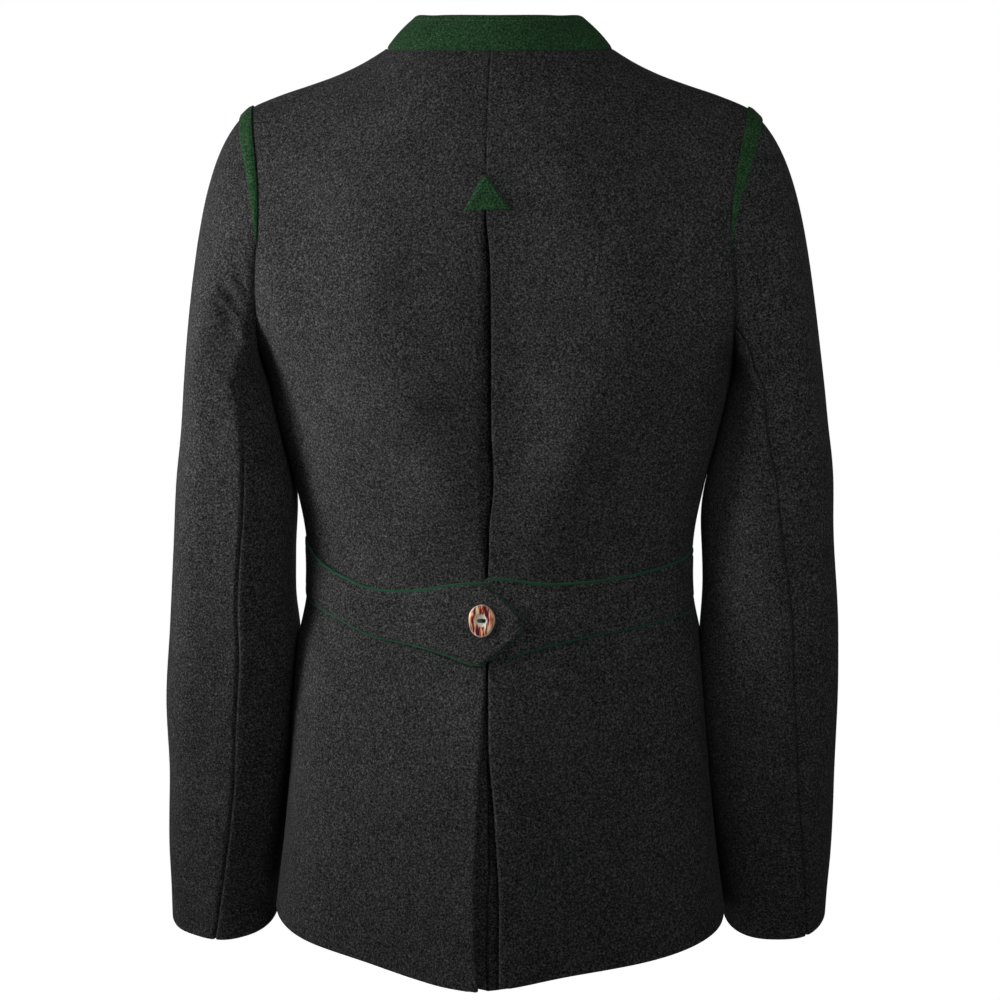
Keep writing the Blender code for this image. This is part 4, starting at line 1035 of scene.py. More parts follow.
# height, how far the sleeve hangs outward
SWAY = {
    1: ((-0.700, 0.0150), (-0.670, 0.0138), (-0.622, 0.0105), (-0.590, 0.0075), (-0.560, 0.0048),
        (-0.496, 0.0028), (-0.433, 0.0), (-0.354, -0.0018), (-0.279, -0.0018), (-0.220, -0.0036)),
    -1: ((-0.700, 0.0010), (-0.670, 0.0020), (-0.590, 0.0028), (-0.510, 0.0026), (-0.433, 0.0054),
         (-0.354, 0.0040), (-0.300, 0.0064), (-0.260, 0.0046), (-0.220, 0.0016)),
}
CUFF_LIFT = {1: -0.007, -1: 0.002}
# share down the sleeve, place round it and height of the full side, place and depth of the flat side
FULL_SIDE = {
    1: ((0.0, 0.372, 0.0, 0.270, 0.0), (0.15, 0.370, 0.0010, 0.265, 0.0015), (0.40, 0.355, 0.0060, 0.250, 0.0050),
        (0.70, 0.350, 0.0056, 0.250, 0.0056), (0.85, 0.335, 0.0036, 0.240, 0.0050),
        (1.00, 0.315, 0.0034, 0.235, 0.0044), (1.20, 0.300, 0.0040, 0.225, 0.0040),
        (1.60, 0.292, 0.0048, 0.210, 0.0044), (2.00, 0.262, 0.0036, 0.180, 0.0036)),
    -1: ((0.0, 0.372, 0.0, 0.270, 0.0), (0.15, 0.370, 0.0010, 0.265, 0.0010), (0.40, 0.360, 0.0050, 0.250, 0.0040),
         (0.70, 0.355, 0.0050, 0.245, 0.0040), (1.00, 0.330, 0.0040, 0.240, 0.0030),
         (1.20, 0.300, 0.0030, 0.225, 0.0016), (1.60, 0.190, 0.0022, 0.260, 0.0010),
         (2.00, 0.160, 0.0018, 0.230, 0.0010)),
}
FULL_WIDTH = 0.048
FLAT_WIDTH = 0.060
# directions in which the cap leaves the armhole on top and under the arm, and what front and back add
LEAVE_TOP = np.array([0.80, 0.0, -0.62])
LEAVE_UNDER = np.array([0.10, 0.0, -1.0])
LEAVE_SIDE = np.array([0.0, 0.25, 0.0])
# strength of the cap's two tangents under the arm, and what is added on top
LEAVE_STRENGTH = (0.75, -0.05)
PULL_STRENGTH = (1.0, 0.50)
PULL_STEP = 0.001


def sleeve_ring(f, z, side):
    """Section of the sleeve: a rounded oblong, tilted by its pitch, and pressed flat on the body."""
    c, s = (np.sign(v) * np.abs(v) ** (2.0 / SLEEVE_POWER)
            for v in (np.cos(2.0 * math.pi * f), np.sin(2.0 * math.pi * f)))
    fuller = smooth(z, FULLNESS[side]) / 2.0
    centre_x = smooth(z, SLEEVE, 1) + smooth(z, SWAY[side]) - fuller
    x = centre_x + (smooth(z, SLEEVE, 3) + fuller) * c
    off = smooth(z, SLEEVE, 4) * s
    y = smooth(z, SLEEVE, 2) + off
    height = z - smooth(z, SLEEVE, 5) * off
    deep = np.where(y > 0, smooth(height, BODY, 2), smooth(height, BODY, 3))
    wall = smooth(height, BODY) * (1.0 - np.clip(np.abs(y) / deep, 0.0, 1.0) ** POWER) ** (1.0 / POWER)
    wall = np.where(height < UNDERARM_Z, wall + SLEEVE_CLEARANCE, 0.0)
    x = 0.5 * (x + wall + np.sqrt((x - wall) ** 2 + CONTACT_ROUNDING ** 2))
    return np.stack([x, y, height], -1)


def sleeve(f, s, side):
    """Sleeve surface on the wearer's left: s runs 0 at the armhole, 1 at the biceps, 2 at the cuff.

    The tube is then pushed back where it is full, beside the elbow seam, and drawn in where it is flat,
    each by a bell curve round the sleeve."""
    f, s = np.broadcast_arrays(np.mod(np.asarray(f, float), 1.0), np.asarray(s, float))
    start = armhole_loop(f)
    biceps = np.full_like(f, BICEP_Z)
    end = sleeve_ring(f, biceps, side)
    pull = (sleeve_ring(f, biceps - PULL_STEP, side) - end) / PULL_STEP
    top = ((1.0 + np.cos(2.0 * math.pi * f)) / 2.0)[..., None]
    leave = top * LEAVE_TOP + (1.0 - top) * LEAVE_UNDER + np.sin(2.0 * math.pi * f)[..., None] * LEAVE_SIDE
    length = np.linalg.norm(end - start, axis=-1, keepdims=True)
    leave = unit(leave) * length * (LEAVE_STRENGTH[0] + LEAVE_STRENGTH[1] * top)
    pull = pull * length * (PULL_STRENGTH[0] + PULL_STRENGTH[1] * top)
    cap = hermite(np.clip(s, 0.0, 1.0)[..., None], start, leave, end, pull)
    low = np.clip(s - 1.0, 0.0, 1.0)
    tube = sleeve_ring(f, BICEP_Z + (CUFF_Z + CUFF_LIFT[side] - BICEP_Z) * low, side)
    table = FULL_SIDE[side]
    full = smooth(s, table, 2) * bell(f - smooth(s, table, 1), FULL_WIDTH)
    flat = smooth(s, table, 4) * bell(f - smooth(s, table, 3), FLAT_WIDTH)
    shift = np.stack([0.0 * f, full - flat, 0.0 * f], -1)
    return np.where((s <= 1.0)[..., None], cap, tube) + shift


def sleeve_normal(f, s, side):
    """Outward unit normal of the sleeve: the cross product of its two tangents."""
    step = 0.004
    round_it = sleeve(f + step, s, side) - sleeve(f - step, s, side)
    down_it = sleeve(f, np.clip(s + step, 0.0, 2.0), side) - sleeve(f, np.clip(s - step, 0.0, 2.0), side)
    return unit(np.cross(down_it, round_it))


print("sleeve at the cuff", round(2 * float(smooth(CUFF_Z, SLEEVE, 3)), 3), "m wide")

# %% Sleeve pieces
# lengths of the cap and of the tube, and widths of the top and of the under sleeve, for the spacing
SLEEVE_LENGTHS = (0.21, 0.43)
SLEEVE_WIDTHS = (0.20, 0.13)
# share of a cloth inward and length onward, of each line of points before the armhole
SLEEVE_ALLOWANCE = ((1.0, 0.0045), (0.8, 0.0015))
LONG_SEAM_ROLL = (0.0024, 0.0009)
ARMHOLE_ROLL = (0.0010, 0.0022)
# share down the sleeve, share round it of the back seam and of the front seam
SLEEVE_SEAMS = {
    1: ((0.0, 0.404, 0.620), (0.60, 0.398, 0.635), (0.85, 0.386, 0.640), (0.94, 0.352, 0.641),
        (1.02, 0.326, 0.642), (1.10, 0.308, 0.643), (1.20, 0.293, 0.645), (1.35, 0.282, 0.648),
        (1.60, 0.278, 0.650), (1.85, 0.265, 0.650), (2.0, 0.247, 0.650)),
    -1: ((0.0, 0.356, 0.620), (0.45, 0.330, 0.633), (0.90, 0.312, 0.640), (1.07, 0.268, 0.643),
         (1.165, 0.240, 0.645), (1.30, 0.217, 0.648), (1.60, 0.194, 0.650), (1.85, 0.173, 0.650),
         (2.0, 0.150, 0.650)),
}
# start, end, width and depth of each crease, both sleeves in the place of the left one
SLEEVE_CREASES = {
    1: (
        ((0.209, 0.072, -0.163), (0.172, 0.072, -0.212), 0.0062, 0.0024),
        ((0.208, 0.072, -0.184), (0.174, 0.072, -0.214), 0.0052, 0.0020),
        ((0.201, 0.072, -0.198), (0.184, 0.072, -0.220), 0.0052, 0.0014),
        ((0.203, 0.072, -0.232), (0.176, 0.070, -0.262), 0.0060, 0.0016),
        ((0.193, 0.072, -0.150), (0.181, 0.072, -0.186), 0.0056, 0.0012),
        ((0.192, 0.020, -0.556), (0.156, 0.020, -0.520), 0.0070, -0.0022),
        ((0.190, 0.020, -0.574), (0.160, 0.020, -0.544), 0.0060, -0.0018),
        ((0.232, 0.040, -0.385), (0.196, 0.060, -0.402), 0.0110, 0.0012),
        ((0.250, -0.020, -0.450), (0.215, -0.062, -0.432), 0.0100, 0.0020),
        ((0.245, -0.030, -0.480), (0.205, -0.066, -0.468), 0.0090, 0.0016),
        ((0.215, -0.066, -0.215), (0.190, -0.072, -0.265), 0.0090, 0.0020),
    ),
    -1: (
        ((0.214, 0.072, -0.128), (0.190, 0.072, -0.176), 0.0090, 0.0022),
        ((0.226, 0.070, -0.190), (0.198, 0.072, -0.252), 0.0090, 0.0026),
        ((0.222, 0.070, -0.146), (0.206, 0.072, -0.180), 0.0070, -0.0012),
        ((0.196, 0.072, -0.196), (0.180, 0.072, -0.225), 0.0070, -0.0016),
        ((0.232, 0.060, -0.262), (0.226, 0.062, -0.330), 0.0070, 0.0014),
        ((0.206, 0.070, -0.262), (0.198, 0.070, -0.345), 0.0080, -0.0016),
        ((0.236, 0.040, -0.392), (0.204, 0.058, -0.410), 0.0110, 0.0012),
        ((0.252, -0.018, -0.440), (0.214, -0.062, -0.425), 0.0100, 0.0020),
        ((0.248, -0.028, -0.472), (0.206, -0.066, -0.462), 0.0090, 0.0015),
        ((0.212, -0.068, -0.225), (0.190, -0.072, -0.270), 0.0090, 0.0018),
    ),
}


def mirrored(grid, side):
    """A grid of the wearer's left side, turned into the right one when side is -1."""
    return grid * np.array([side, 1.0, 1.0])


def sleeve_piece(side, under):
    """Grid of the top or the under sleeve between its back seam and its front seam."""
    s = rows_down(*SLEEVE_LENGTHS, 0.0034)
    back, front = smooth(s, SLEEVE_SEAMS[side], 1), smooth(s, SLEEVE_SEAMS[side], 2)
    t = stations(SLEEVE_WIDTHS[under], 0.0034, 0.0008)[:, None]
    f = back + (front - back) * t if under else (front - 1.0) + (back - front + 1.0) * t
    s = np.broadcast_to(s, f.shape)
    points, normals = sleeve(f, s, side), sleeve_normal(f, s, side)
    normals[:, 0, 0] = np.minimum(normals[:, 0, 0], 0.0)
    return points, unit(normals)


def with_allowance(points, normals, down, way, rows):
    """Add lines of points before the first row: a seam allowance that runs on below the next piece.

    Down is the normal of that piece and way the direction in which the allowance goes on. Each row
    says how deep its line lies, as a share of one cloth and its gap, and how far it goes on."""
    lines = [points[:, 0] - down * (CLOTH + LAYER_GAP) * sunk + way * reach for sunk, reach in rows]
    return (np.concatenate([np.stack(lines, 1), points], 1),
            np.concatenate([np.stack([down, unit(down + normals[:, 0])], 1), normals], 1))


for side, word in SIDES:
    for under, part in enumerate(("top", "under")):
        points, normals = sleeve_piece(side, under)
        points = creased(points, normals, SLEEVE_CREASES[side])
        points = seam_roll(points, normals, ("first", "last"), *LONG_SEAM_ROLL)
        points = seam_roll(points, normals, ("top",), *ARMHOLE_ROLL)
        x, y, z = points[:, 0].T
        down = np.where((y >= body_y(x, z, 1) / 2.0)[:, None], body_normal(x, z, 1), body_normal(x, z, -1))
        points, normals = with_allowance(points, normals, down, np.array([-1.0, 0.0, 0.0]), SLEEVE_ALLOWANCE)
        piece = finished_piece(
            "cloth_sleeve_%s_%s" % (part, word),
            *cloth_wall(mirrored(points, side), mirrored(normals, side), hem_thickness(points)),
            loden, "loden", "sleeve_%s_%s" % (part, word))

# %% [markdown]
# ## Green felt: shoulder wedges, stand collar and triangle
#
# A wedge of green felt runs along each armhole over the shoulder, widest on top and
# drawn to a point in front and behind. It is laid on the sleeve's own surface, so it
# follows the cap exactly. The collar stands on the neckline: its foot is the same
# curve as the panels' top edge and its upper edge comes from a short table, with the
# two ends rounded at the throat. Like the sleeve, it has an allowance inside the seam.

# %% Shoulder wedges
INSET_END = 0.238
# share of the way round the armhole, width of the wedge on the left and on the right shoulder
INSET_WIDTH = (
    (0.0, 0.0125, 0.0140), (0.06, 0.0115, 0.0130), (0.12, 0.0092, 0.0105), (0.16, 0.0074, 0.0070),
    (0.20, 0.0044, 0.0036), (0.238, 0.0008, 0.0008),
)
INSET_STATIONS = 141
INSET_START = 0.0006
# share of the way down the cap within which the wedge ends everywhere
INSET_REACH = 0.4
# depth to which the edges sink, width of that roll at the armhole and at the free edge
INSET_SINK = 0.0007
INSET_ROLL = (0.0016, 0.0012)

for side, word in SIDES:
    f = np.linspace(-INSET_END, INSET_END, INSET_STATIONS)
    width = smooth(np.abs(f), INSET_WIDTH, 1 if side > 0 else 2)
    fine = np.linspace(0.0, INSET_REACH, 80)
    run = running(sleeve(f[:, None], fine[None], side), 1)
    share = stations(0.016, 0.0012, 0.0005)
    s = np.array([np.interp(INSET_START + width[i] * share, run[i], fine) for i in range(len(f))])
    f = np.broadcast_to(f[:, None], s.shape)
    points, normals = sleeve(f, s, side), sleeve_normal(f, s, side)
    distance = edge_distances(points)
    dip = bell(distance["top"], INSET_ROLL[0]) + bell(distance["bottom"], INSET_ROLL[1])
    sunk = INSET_SINK * np.clip(dip, 0.0, 1.0)
    points = points + normals * (LAYER_GAP + TRIM - sunk)[..., None]
    piece = finished_piece("felt_wedge_" + word, *cloth_wall(mirrored(points, side), mirrored(normals, side), TRIM),
                           felt, "felt_green", "shoulder_inset_" + word)

# %% Collar
COLLAR_END_U = 0.10
COLLAR_ROUNDED = 0.020
COLLAR_RISE = 0.0001
COLLAR_BULGE = 0.0012
COLLAR_END_LOSS = 0.5
# length and height, for the spacing of points
COLLAR_LENGTH, COLLAR_HEIGHT = 0.46, 0.030
COLLAR_STITCH = 0.0040
# depth and width of the groove under the stitches, and of the roll at the foot
COLLAR_GROOVE = (0.00030, 0.0009)
COLLAR_ROLL = (0.0006, 0.0016)
# stitches lean up a little, and leave out so many points at each end
ROW_LEAN = 0.2
ROW_ENDS = 4
# share of a cloth inward and length down, of each line of points below the foot
COLLAR_ALLOWANCE = ((1.0, 0.0035), (0.8, 0.0010))
# share of the way round from the back, scale of the half width, forward lean, height of the top edge
COLLAR_TOP = (
    (0.00, 0.735, 0.0100, 0.0252), (0.25, 0.735, 0.0090, 0.0252), (0.50, 0.760, 0.0010, 0.0220),
    (0.75, 0.850, -0.0060, -0.0080), (1.00, 0.900, -0.0100, -0.0370),
)


def neck_ring(a):
    """Neckline seam; the angle runs from 0 at the nape to pi at the throat, with the side's sign."""
    turn = np.abs(a)
    back = turn <= math.pi / 2.0
    u = np.where(back, turn, math.pi - turn) / (math.pi / 2.0) * U_NECK
    (back_x, back_z), (front_x, front_z) = top_curve(u, 1), top_curve(u, -1)
    x, z = np.where(back, back_x, front_x), np.where(back, back_z, front_z)
    y = np.where(back, body_y(x, z, 1), body_y(x, z, -1))
    return np.stack([np.where(a < 0, -x, x), y, z], -1)


end_angle = math.pi * (1.0 - COLLAR_END_U / (2.0 * U_NECK))
a = (2.0 * stations(COLLAR_LENGTH, 0.0020, 0.0006) - 1.0) * end_angle
foot = neck_ring(a) + UP * COLLAR_RISE
turn = np.abs(a) / math.pi
head = np.stack([foot[:, 0] * smooth(turn, COLLAR_TOP, 1), foot[:, 1] - smooth(turn, COLLAR_TOP, 2),
                 smooth(turn, COLLAR_TOP, 3)], -1)
run = (end_angle - np.abs(a)) * NECK_HALF
full = 1.0 - COLLAR_END_LOSS * (1.0 - np.sqrt(1.0 - np.clip(1.0 - run / COLLAR_ROUNDED, 0.0, 1.0) ** 2))
h = stations(COLLAR_HEIGHT, 0.0014, 0.0006)[None, :, None] * full[:, None, None]
points = foot[:, None] * (1.0 - h) + head[:, None] * h
normals = unit(np.cross(np.gradient(points, axis=1), np.gradient(points, axis=0)))
outward = np.sum(normals * points * (1.0, 1.0, 0.0), axis=-1, keepdims=True)
normals = normals * np.where(outward < 0.0, -1.0, 1.0)
points = points + normals * COLLAR_BULGE * np.sin(math.pi * h)
normals[:, 0, 2] = 0.0
normals = unit(normals)
points = stitch_groove(points, normals, "bottom", COLLAR_STITCH, *COLLAR_GROOVE)
points = seam_roll(points, normals, ("top",), *COLLAR_ROLL)
row = line_beside(points, "bottom", COLLAR_STITCH)
row_normals = unit(row * (1.0, 1.0, 0.0) + UP * ROW_LEAN)
points, normals = with_allowance(points, normals, normals[:, 0], -UP, COLLAR_ALLOWANCE)
collar = finished_piece("felt_collar", *cloth_wall(points, normals, FELT), felt, "felt_green", "collar")
collar_sewing = stitches("sewing_collar", row[ROW_ENDS:-ROW_ENDS], row_normals[ROW_ENDS:-ROW_ENDS],
                         green_thread, "felt_green")

# %% [markdown]
# A felt triangle is sewn over the top of the pleat. It is the tailor's way to take
# the pull off the end of the seam. Its grid is a fan of straight lines from the apex
# to the base, laid on the back and lifted by its own thickness.

# %% Triangle
# apex, left and right corner: across and up
TRIANGLE = np.array([(0.0037, -0.0883), (0.0177, -0.1140), (-0.0146, -0.1132)])
TRIANGLE_LIFT = 0.0007
TRIANGLE_BLUNT = 0.05
TRIANGLE_SINK = (0.0004, 0.0010)
# how much smaller the line of stitches is than the triangle
TRIANGLE_INSET = 0.2
TRIANGLE_YARN = (0.0020, 0.0010, 0.00026)


def on_back(xz, lift):
    """Points and normals over the back panels, at x and z, lifted off the cloth."""
    x, z = xz[..., 0], xz[..., 1]
    normals = body_normal(x, z, 1)
    return on_body(x, z, 1) + normals * lift, normals


apex, left, right = TRIANGLE
down = (TRIANGLE_BLUNT + (1.0 - TRIANGLE_BLUNT) * stations(0.028, 0.0012, 0.0005))[:, None, None]
share = stations(0.032, 0.0012, 0.0005)[None, :, None]
points, normals = on_back(apex + (left - apex + (right - left) * share) * down, TRIANGLE_LIFT + TRIM)
points = seam_roll(points, normals, ("first", "last", "top", "bottom"), *TRIANGLE_SINK)
triangle = finished_piece("felt_triangle", *cloth_wall(points, normals, TRIM), felt, "felt_green", "back_triangle")
centre = TRIANGLE.mean(0)
corners = (centre + (TRIANGLE - centre) * (1.0 - TRIANGLE_INSET))[[1, 0, 2]]
path = resampled(np.linspace(0.0, 2.0, 61), np.arange(3), corners)
triangle_sewing = stitches("sewing_triangle", *on_back(path, TRIANGLE_LIFT + TRIM), green_thread, "felt_green",
                           *TRIANGLE_YARN)

# %% [markdown]
# ## The half belt
#
# Two shaped strips come from the side seams and draw the waist in. The left one ends
# in a point and buttons over the right one. Each strip is two layers of loden with a
# green piped edge. Its outline is a table of stations, read smoothly along the strip
# and straight at the point, where the cut really has corners.

# %% Belt strips
# place across, height of the top edge, height of the bottom edge
BELT = {
    1: ((0.1400, -0.3790, -0.4150), (0.1303, -0.3852, -0.4172), (0.1185, -0.3910, -0.4208),
        (0.1071, -0.3949, -0.4252), (0.0959, -0.3991, -0.4299), (0.0849, -0.4004, -0.4333),
        (0.0740, -0.4005, -0.4348), (0.0526, -0.3986, -0.4380), (0.0315, -0.3941, -0.4432),
        (0.0125, -0.3916, -0.4494), (0.0050, -0.3916, -0.4503), (-0.0020, -0.3973, -0.4443),
        (-0.0124, -0.4070, -0.4355), (-0.0193, -0.4133, -0.4300), (-0.0226, -0.4180, -0.4250)),
    -1: ((0.0250, -0.4000, -0.4400), (0.0120, -0.3955, -0.4440), (0.0046, -0.3896, -0.4462),
         (-0.0040, -0.3889, -0.4462), (-0.0110, -0.3889, -0.4445),
         (-0.0310, -0.3918, -0.4387), (-0.0523, -0.3927, -0.4337), (-0.0729, -0.3917, -0.4292),
         (-0.0934, -0.3896, -0.4270), (-0.1139, -0.3867, -0.4239), (-0.1345, -0.3829, -0.4215),
         (-0.1447, -0.3804, -0.4206)),
}
# heights of the two edges at the side seam
BELT_SIDE_Z = {1: (-0.3720, -0.4120), -1: (-0.3765, -0.4190)}
BELT_END_U = 0.94
BELT_THICKNESS = 0.0024
BELT_GAP = 0.0008
# length and width, for the spacing of points
BELT_LENGTH, BELT_WIDTH = 0.20, 0.045
BODY_EDGE = 0.99999
# towards the side seam the strip sinks into the cloth, and grows thinner by a share of that
BELT_SEWN_IN = 0.0022
BELT_SEWN_THIN = 0.6
BELT_FLAT_U = 0.60
# the left strip climbs onto the right one, and its point lifts a little more
CLIMB_START, CLIMB_RUN = 0.060, 0.030
POINT_LIFT, POINT_RUN = 0.0036, 0.020
BELT_STITCH = 0.0047
BELT_GROOVE = (0.00070, 0.0011)
# the rows of stitches stop where the strip is narrower than so many offsets
STITCH_ROOM = 3.0
# height of the belt's crown, and how far from an edge it grows
CROWN_HEIGHT, CROWN_REACH = 0.0006, 0.0035
# share of the way round at which the edges turn from straight to smooth: the right strip's always are
POINT_START = {1: 0.03, -1: -9.0}
POINT_BLEND = 0.03


def belt_edges(side, share):
    """Heights of the strip's two edges at signed shares round the body: smooth, but straight at the point."""
    rows = np.array(BELT[side])
    at = side * share_round(rows[:, 0], (rows[:, 1] + rows[:, 2]) / 2.0)
    table = np.column_stack([np.append(at, BELT_END_U), np.vstack([rows[:, 1:], BELT_SIDE_Z[side]])])
    table = table[np.argsort(table[:, 0])]
    blend = ease((share - POINT_START[side]) / POINT_BLEND)
    edges = []
    for i in (1, 2):
        straight = np.interp(share, table[:, 0], table[:, i])
        edges.append(straight + (smooth(share, table, i) - straight) * blend)
    return edges


def sewn_in(share):
    """How far the strip has sunk into the cloth, growing towards the side seam."""
    return BELT_SEWN_IN * ease((share - BELT_FLAT_U) / (BELT_END_U - BELT_FLAT_U))


def belt_shape(side, share, z):
    """Points and normals of a strip's outer side; the left one climbs onto the right one."""
    wide = smooth(z, BODY)
    x = np.clip(side * np.sign(share) * wide * spread(np.abs(share)), -wide * BODY_EDGE, wide * BODY_EDGE)
    lift = BELT_GAP + BELT_THICKNESS - sewn_in(share)
    if side > 0:
        lift = lift + (BELT_THICKNESS + LAYER_GAP) * ease((CLIMB_START - x) / CLIMB_RUN)
        lift = lift + POINT_LIFT * ease(-x / POINT_RUN)
    normals = body_normal(x, z, 1)
    return on_body(x, z, 1) + normals * lift[..., None], normals


belts = {}
for side, word in SIDES:
    tip = BELT[side][-1 if side > 0 else 0]
    tip_share = side * float(share_round(tip[0], (tip[1] + tip[2]) / 2.0))
    share = (tip_share + (BELT_END_U - tip_share) * stations(BELT_LENGTH, 0.0018, 0.0005))[::-1]
    top, bottom = belt_edges(side, share)
    z = top[:, None] + (bottom - top)[:, None] * stations(BELT_WIDTH, 0.0016, 0.0005)
    points, normals = belt_shape(side, np.broadcast_to(share[:, None], z.shape), z)
    distance = edge_distances(points)
    full = 1.0 - np.exp(-np.minimum(distance["top"], distance["bottom"]) / CROWN_REACH)
    points = points + normals * (CROWN_HEIGHT * full)[..., None]
    for edge in ("top", "bottom"):
        points = stitch_groove(points, normals, edge, BELT_STITCH, *BELT_GROOVE)
    belts[side] = (points.reshape(-1, 3).mean(0), share, top, bottom)
    thickness = (BELT_THICKNESS - BELT_SEWN_THIN * sewn_in(share))[:, None]
    piece = finished_piece("cloth_belt_" + word, *cloth_wall(points, normals, thickness), loden, "loden",
                           "belt_" + word)
    wide_enough = (top - bottom) > STITCH_ROOM * BELT_STITCH
    sewing = [stitches("sewing_belt_%s_%s" % (word, edge), line_beside(points, edge, BELT_STITCH)[wide_enough],
                       normals[wide_enough, 0], grey_thread, "loden") for edge in ("top", "bottom")]

# %% Belt piping
PIPING_RADIUS = 0.00108
PIPING_SIDES = 10
PIPING_STEP = 0.0010
PIPING_OFF = 0.0003
# where an edge turns down by more than the first number the cord rolls under it, fully after the run:
# it then sinks by the tuck and keeps only a share of its offset
TUCK_START, TUCK_RUN = 0.25, 0.30
PIPING_TUCK = 0.0016
TUCKED_OFFSET = 0.4
# share of the radius that shows: the middle, and what a top edge adds and a bottom edge takes away
SHOWN_MIDDLE, SHOWN_CHANGE, SHOWN_SLOPE = 0.87, 0.13, 1.5
# radius of the first two points of a cord, so that its ends are closed and round
CORD_END = (0.1, 0.8)
# place across at which each cord of the right strip ends, where the left strip covers it
CORD_END_X = {"top": 0.0048, "bottom": -0.0090}


def softened(path, times):
    """Round a path's corners: each point moves to a quarter, a half and a quarter of its neighbours."""
    for _ in range(times):
        path = np.concatenate([path[:1], (path[:-2] + 2.0 * path[1:-1] + path[2:]) / 4.0, path[-1:]])
    return path


def facing_out(faces, verts, inside, probe=0):
    """The faces, turned over if the one that is probed faces a point inside the form."""
    a, b, d = (verts[faces[probe][i]] for i in (0, 1, 3))
    return [face[::-1] for face in faces] if np.dot(np.cross(b - a, d - a), a - inside) < 0.0 else faces


def piped_edge(name, side, middle, share, z):
    """A covered cord along an edge of a strip, pushed off the edge, away from the strip's middle."""
    path, normals = belt_shape(side, share, z)
    path = path - normals * BELT_THICKNESS / 2.0
    run = running(path[:, None], 0)[:, 0]
    even = np.linspace(0.0, run[-1], int(run[-1] / PIPING_STEP))
    path, normals = (resampled(even, run, line) for line in (path, normals))
    path = softened(path, 4)
    across = unit(np.cross(normals, np.gradient(path, axis=0)))
    if np.sum((path - middle) * across) < 0.0:
        across = -across
    under = ease((-across[:, :1] - TUCK_START) / TUCK_RUN)
    off = (PIPING_RADIUS + PIPING_OFF) * (1.0 - (1.0 - TUCKED_OFFSET) * under)
    path = path + across * off - normals * PIPING_TUCK * under
    radius = PIPING_RADIUS * np.concatenate([CORD_END, np.ones(len(path) - 4), CORD_END[::-1]])
    radius = radius * (SHOWN_MIDDLE + SHOWN_CHANGE * np.clip(across[:, 2] * SHOWN_SLOPE, -1.0, 1.0))
    turn = 2.0 * math.pi * np.arange(PIPING_SIDES) / PIPING_SIDES
    ring = across[:, None] * np.cos(turn)[:, None] + normals[:, None] * np.sin(turn)[:, None]
    verts = (path[:, None] + ring * radius[:, None, None]).reshape(-1, 3)
    first = list(range(PIPING_SIDES))
    last = [len(verts) - PIPING_SIDES + i for i in first]
    faces = tube_faces(len(path), PIPING_SIDES).tolist() + [first[::-1], last]
    uv = np.stack(np.broadcast_arrays(even[:, None], turn * PIPING_RADIUS), -1).reshape(-1, 2)
    finished_piece(name, verts, facing_out(faces, verts, path[0]), uv, piping, "piping_green", "belt_" + name)


middle, share, top, bottom = belts[1]
tip_z = np.linspace(top[-1], bottom[-1], 9)[1:-1]
piped_edge("piping_left", 1, middle, np.concatenate([share, np.full(len(tip_z), share[-1]), share[::-1]]),
           np.concatenate([top, tip_z, bottom[::-1]]))
middle, share, top, bottom = belts[-1]
across = smooth(top, BODY) * spread(np.abs(share)) * -np.sign(share)
for name, line in (("top", top), ("bottom", bottom)):
    shown = across < CORD_END_X[name]
    piped_edge("piping_right_" + name, -1, middle, share[shown], line[shown])

# %% [markdown]
# ## Buttons
#
# Each button is a slice of antler: an oval turned form, a little out of round, with a
# dished middle. Its outline is a profile carried round an oval. The middle is sewn
# through: three turns of bottle-green yarn cross the dish and dive in at both ends.

# %% Buttons
BUTTON_AT = (0.0057, -0.4190)
BUTTON_HALF = (0.0100, 0.0123)
BUTTON_THICKNESS = 0.0040
BUTTON_SIDES = 56
BUTTON_RINGS = 34
FRONT_BUTTON_Z = (-0.095, -0.173, -0.251, -0.329, -0.407)
# share of the radius, share of the thickness
BUTTON_PROFILE = ((0.80, 0.0), (0.94, 0.12), (1.0, 0.42), (0.97, 0.74), (0.88, 0.93), (0.76, 1.0), (0.60, 0.99),
                  (0.47, 0.94), (0.37, 0.72), (0.24, 0.60), (0.05, 0.58))
# strength, number of waves round the button and share of its phase, of what makes it out of round
BUTTON_WAVES = ((0.018, 3.0, 1.0), (0.010, 5.0, 2.0))
BELT_PHASE = 0.4
FRONT_PHASE = 1.3
BUTTON_GAP = 0.0002
FRONT_BUTTON_GAPS = 2.5
EYE_LENGTH = 0.0040
EYE_YARN = 0.00056
EYE_TURNS = 3
EYE_SPACING = 1.75
# height of the yarn: share of the button's thickness, then the arch's top and fall in yarns
EYE_BASE, EYE_TOP, EYE_FALL = 0.60, 1.4, 3.0


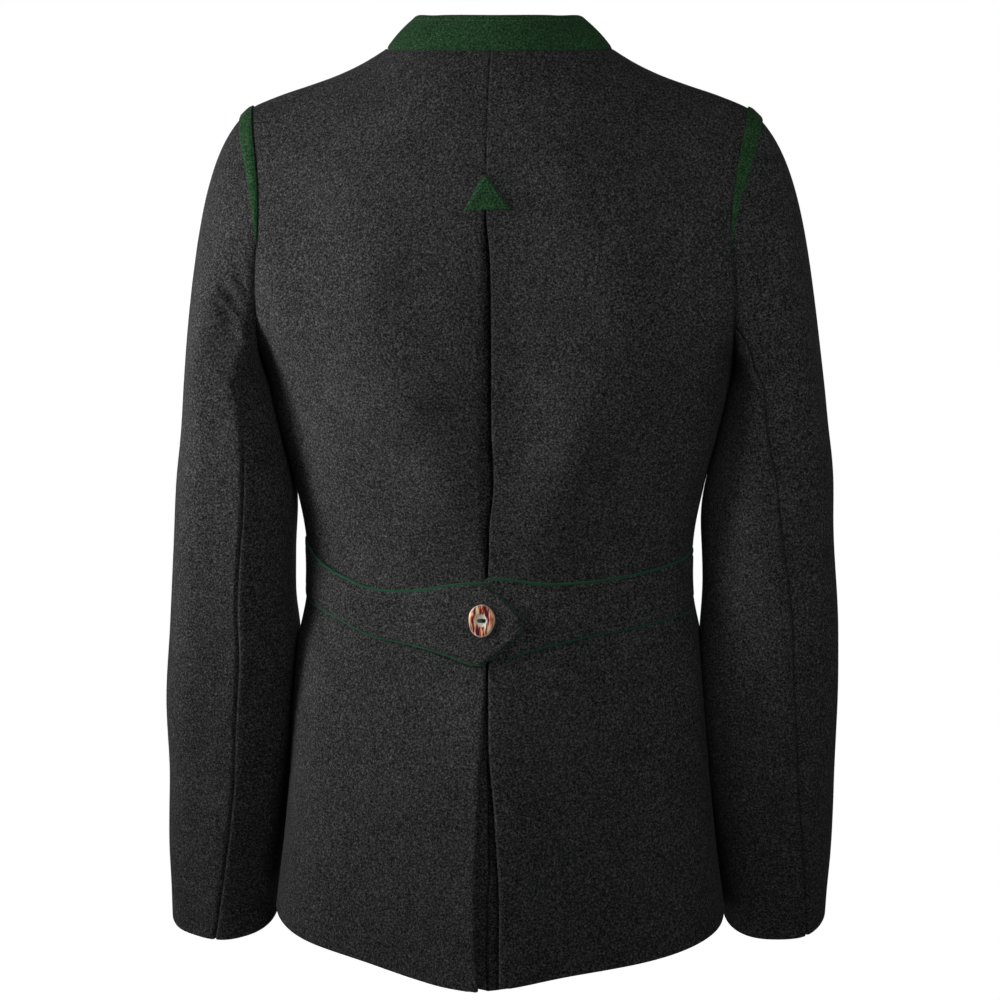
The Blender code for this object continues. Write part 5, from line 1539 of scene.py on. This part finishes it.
def button(name, centre, normal, phase):
    """A profile carried round an oval; the radius swells by small waves to be out of round."""
    upright = unit(UP - normal * normal[2])
    wide = np.cross(upright, normal)
    table = np.array(BUTTON_PROFILE)
    at = np.linspace(0.0, len(table) - 1.0, BUTTON_RINGS)
    radius, height = softened(resampled(at, np.arange(len(table)), table), 3).T
    turn = 2.0 * math.pi * np.arange(BUTTON_SIDES) / BUTTON_SIDES
    wave = 1.0 + sum(swell * np.sin(waves * turn + share * phase) for swell, waves, share in BUTTON_WAVES)
    face = np.stack([np.cos(turn) * wave, np.sin(turn) * wave], -1)[None] * radius[:, None, None]
    ring = face[..., :1] * BUTTON_HALF[0] * wide + face[..., 1:] * BUTTON_HALF[1] * upright
    rise = (height * BUTTON_THICKNESS)[:, None, None] * normal
    verts = np.concatenate([(centre + ring + rise).reshape(-1, 3), [centre + normal * height[0] * BUTTON_THICKNESS],
                            [centre + normal * height[-1] * BUTTON_THICKNESS]])
    first = np.arange(BUTTON_SIDES)
    last, after = first + len(verts) - 2 - BUTTON_SIDES, np.roll(first, -1)
    faces = tube_faces(BUTTON_RINGS, BUTTON_SIDES).tolist()
    faces += np.stack([np.full(BUTTON_SIDES, len(verts) - 2), after, first], -1).tolist()
    faces += np.stack([np.full(BUTTON_SIDES, len(verts) - 1), last, np.roll(last, -1)], -1).tolist()
    # the map runs from -1 to 1 across and up the face
    uv = np.concatenate([face.reshape(-1, 2), np.zeros((2, 2))])
    finished_piece("horn_" + name, verts, facing_out(faces, verts, centre, 5 * BUTTON_SIDES), uv, horn, "horn", name)
    t = np.linspace(-0.5, 0.5, 9)
    level = (np.arange(EYE_TURNS) - (EYE_TURNS - 1) / 2.0) * EYE_YARN * EYE_SPACING
    arch = EYE_BASE * BUTTON_THICKNESS + EYE_YARN * (EYE_TOP - EYE_FALL * (2.0 * t) ** 4)
    line = centre + level[:, None, None] * upright + (t * EYE_LENGTH)[:, None] * wide + arch[:, None] * normal
    finished_piece("yarn_" + name, *beads(line, np.broadcast_to(normal, line.shape),
                                          EYE_YARN * taper(t, 6)), eye_thread, "piping_green")


point, normal = on_back(np.array(BUTTON_AT), 0.0)
button("belt_button", point + normal * (BELT_GAP + 2.0 * (BELT_THICKNESS + LAYER_GAP) + BUTTON_GAP), normal,
       BELT_PHASE)
for i, z in enumerate(FRONT_BUTTON_Z):
    at = np.array(0.0), np.array(z), -1
    normal = body_normal(*at)
    button("front_button_%d" % (i + 1), on_body(*at) + normal * (CLOTH + FRONT_BUTTON_GAPS * LAYER_GAP), normal,
           FRONT_PHASE * i)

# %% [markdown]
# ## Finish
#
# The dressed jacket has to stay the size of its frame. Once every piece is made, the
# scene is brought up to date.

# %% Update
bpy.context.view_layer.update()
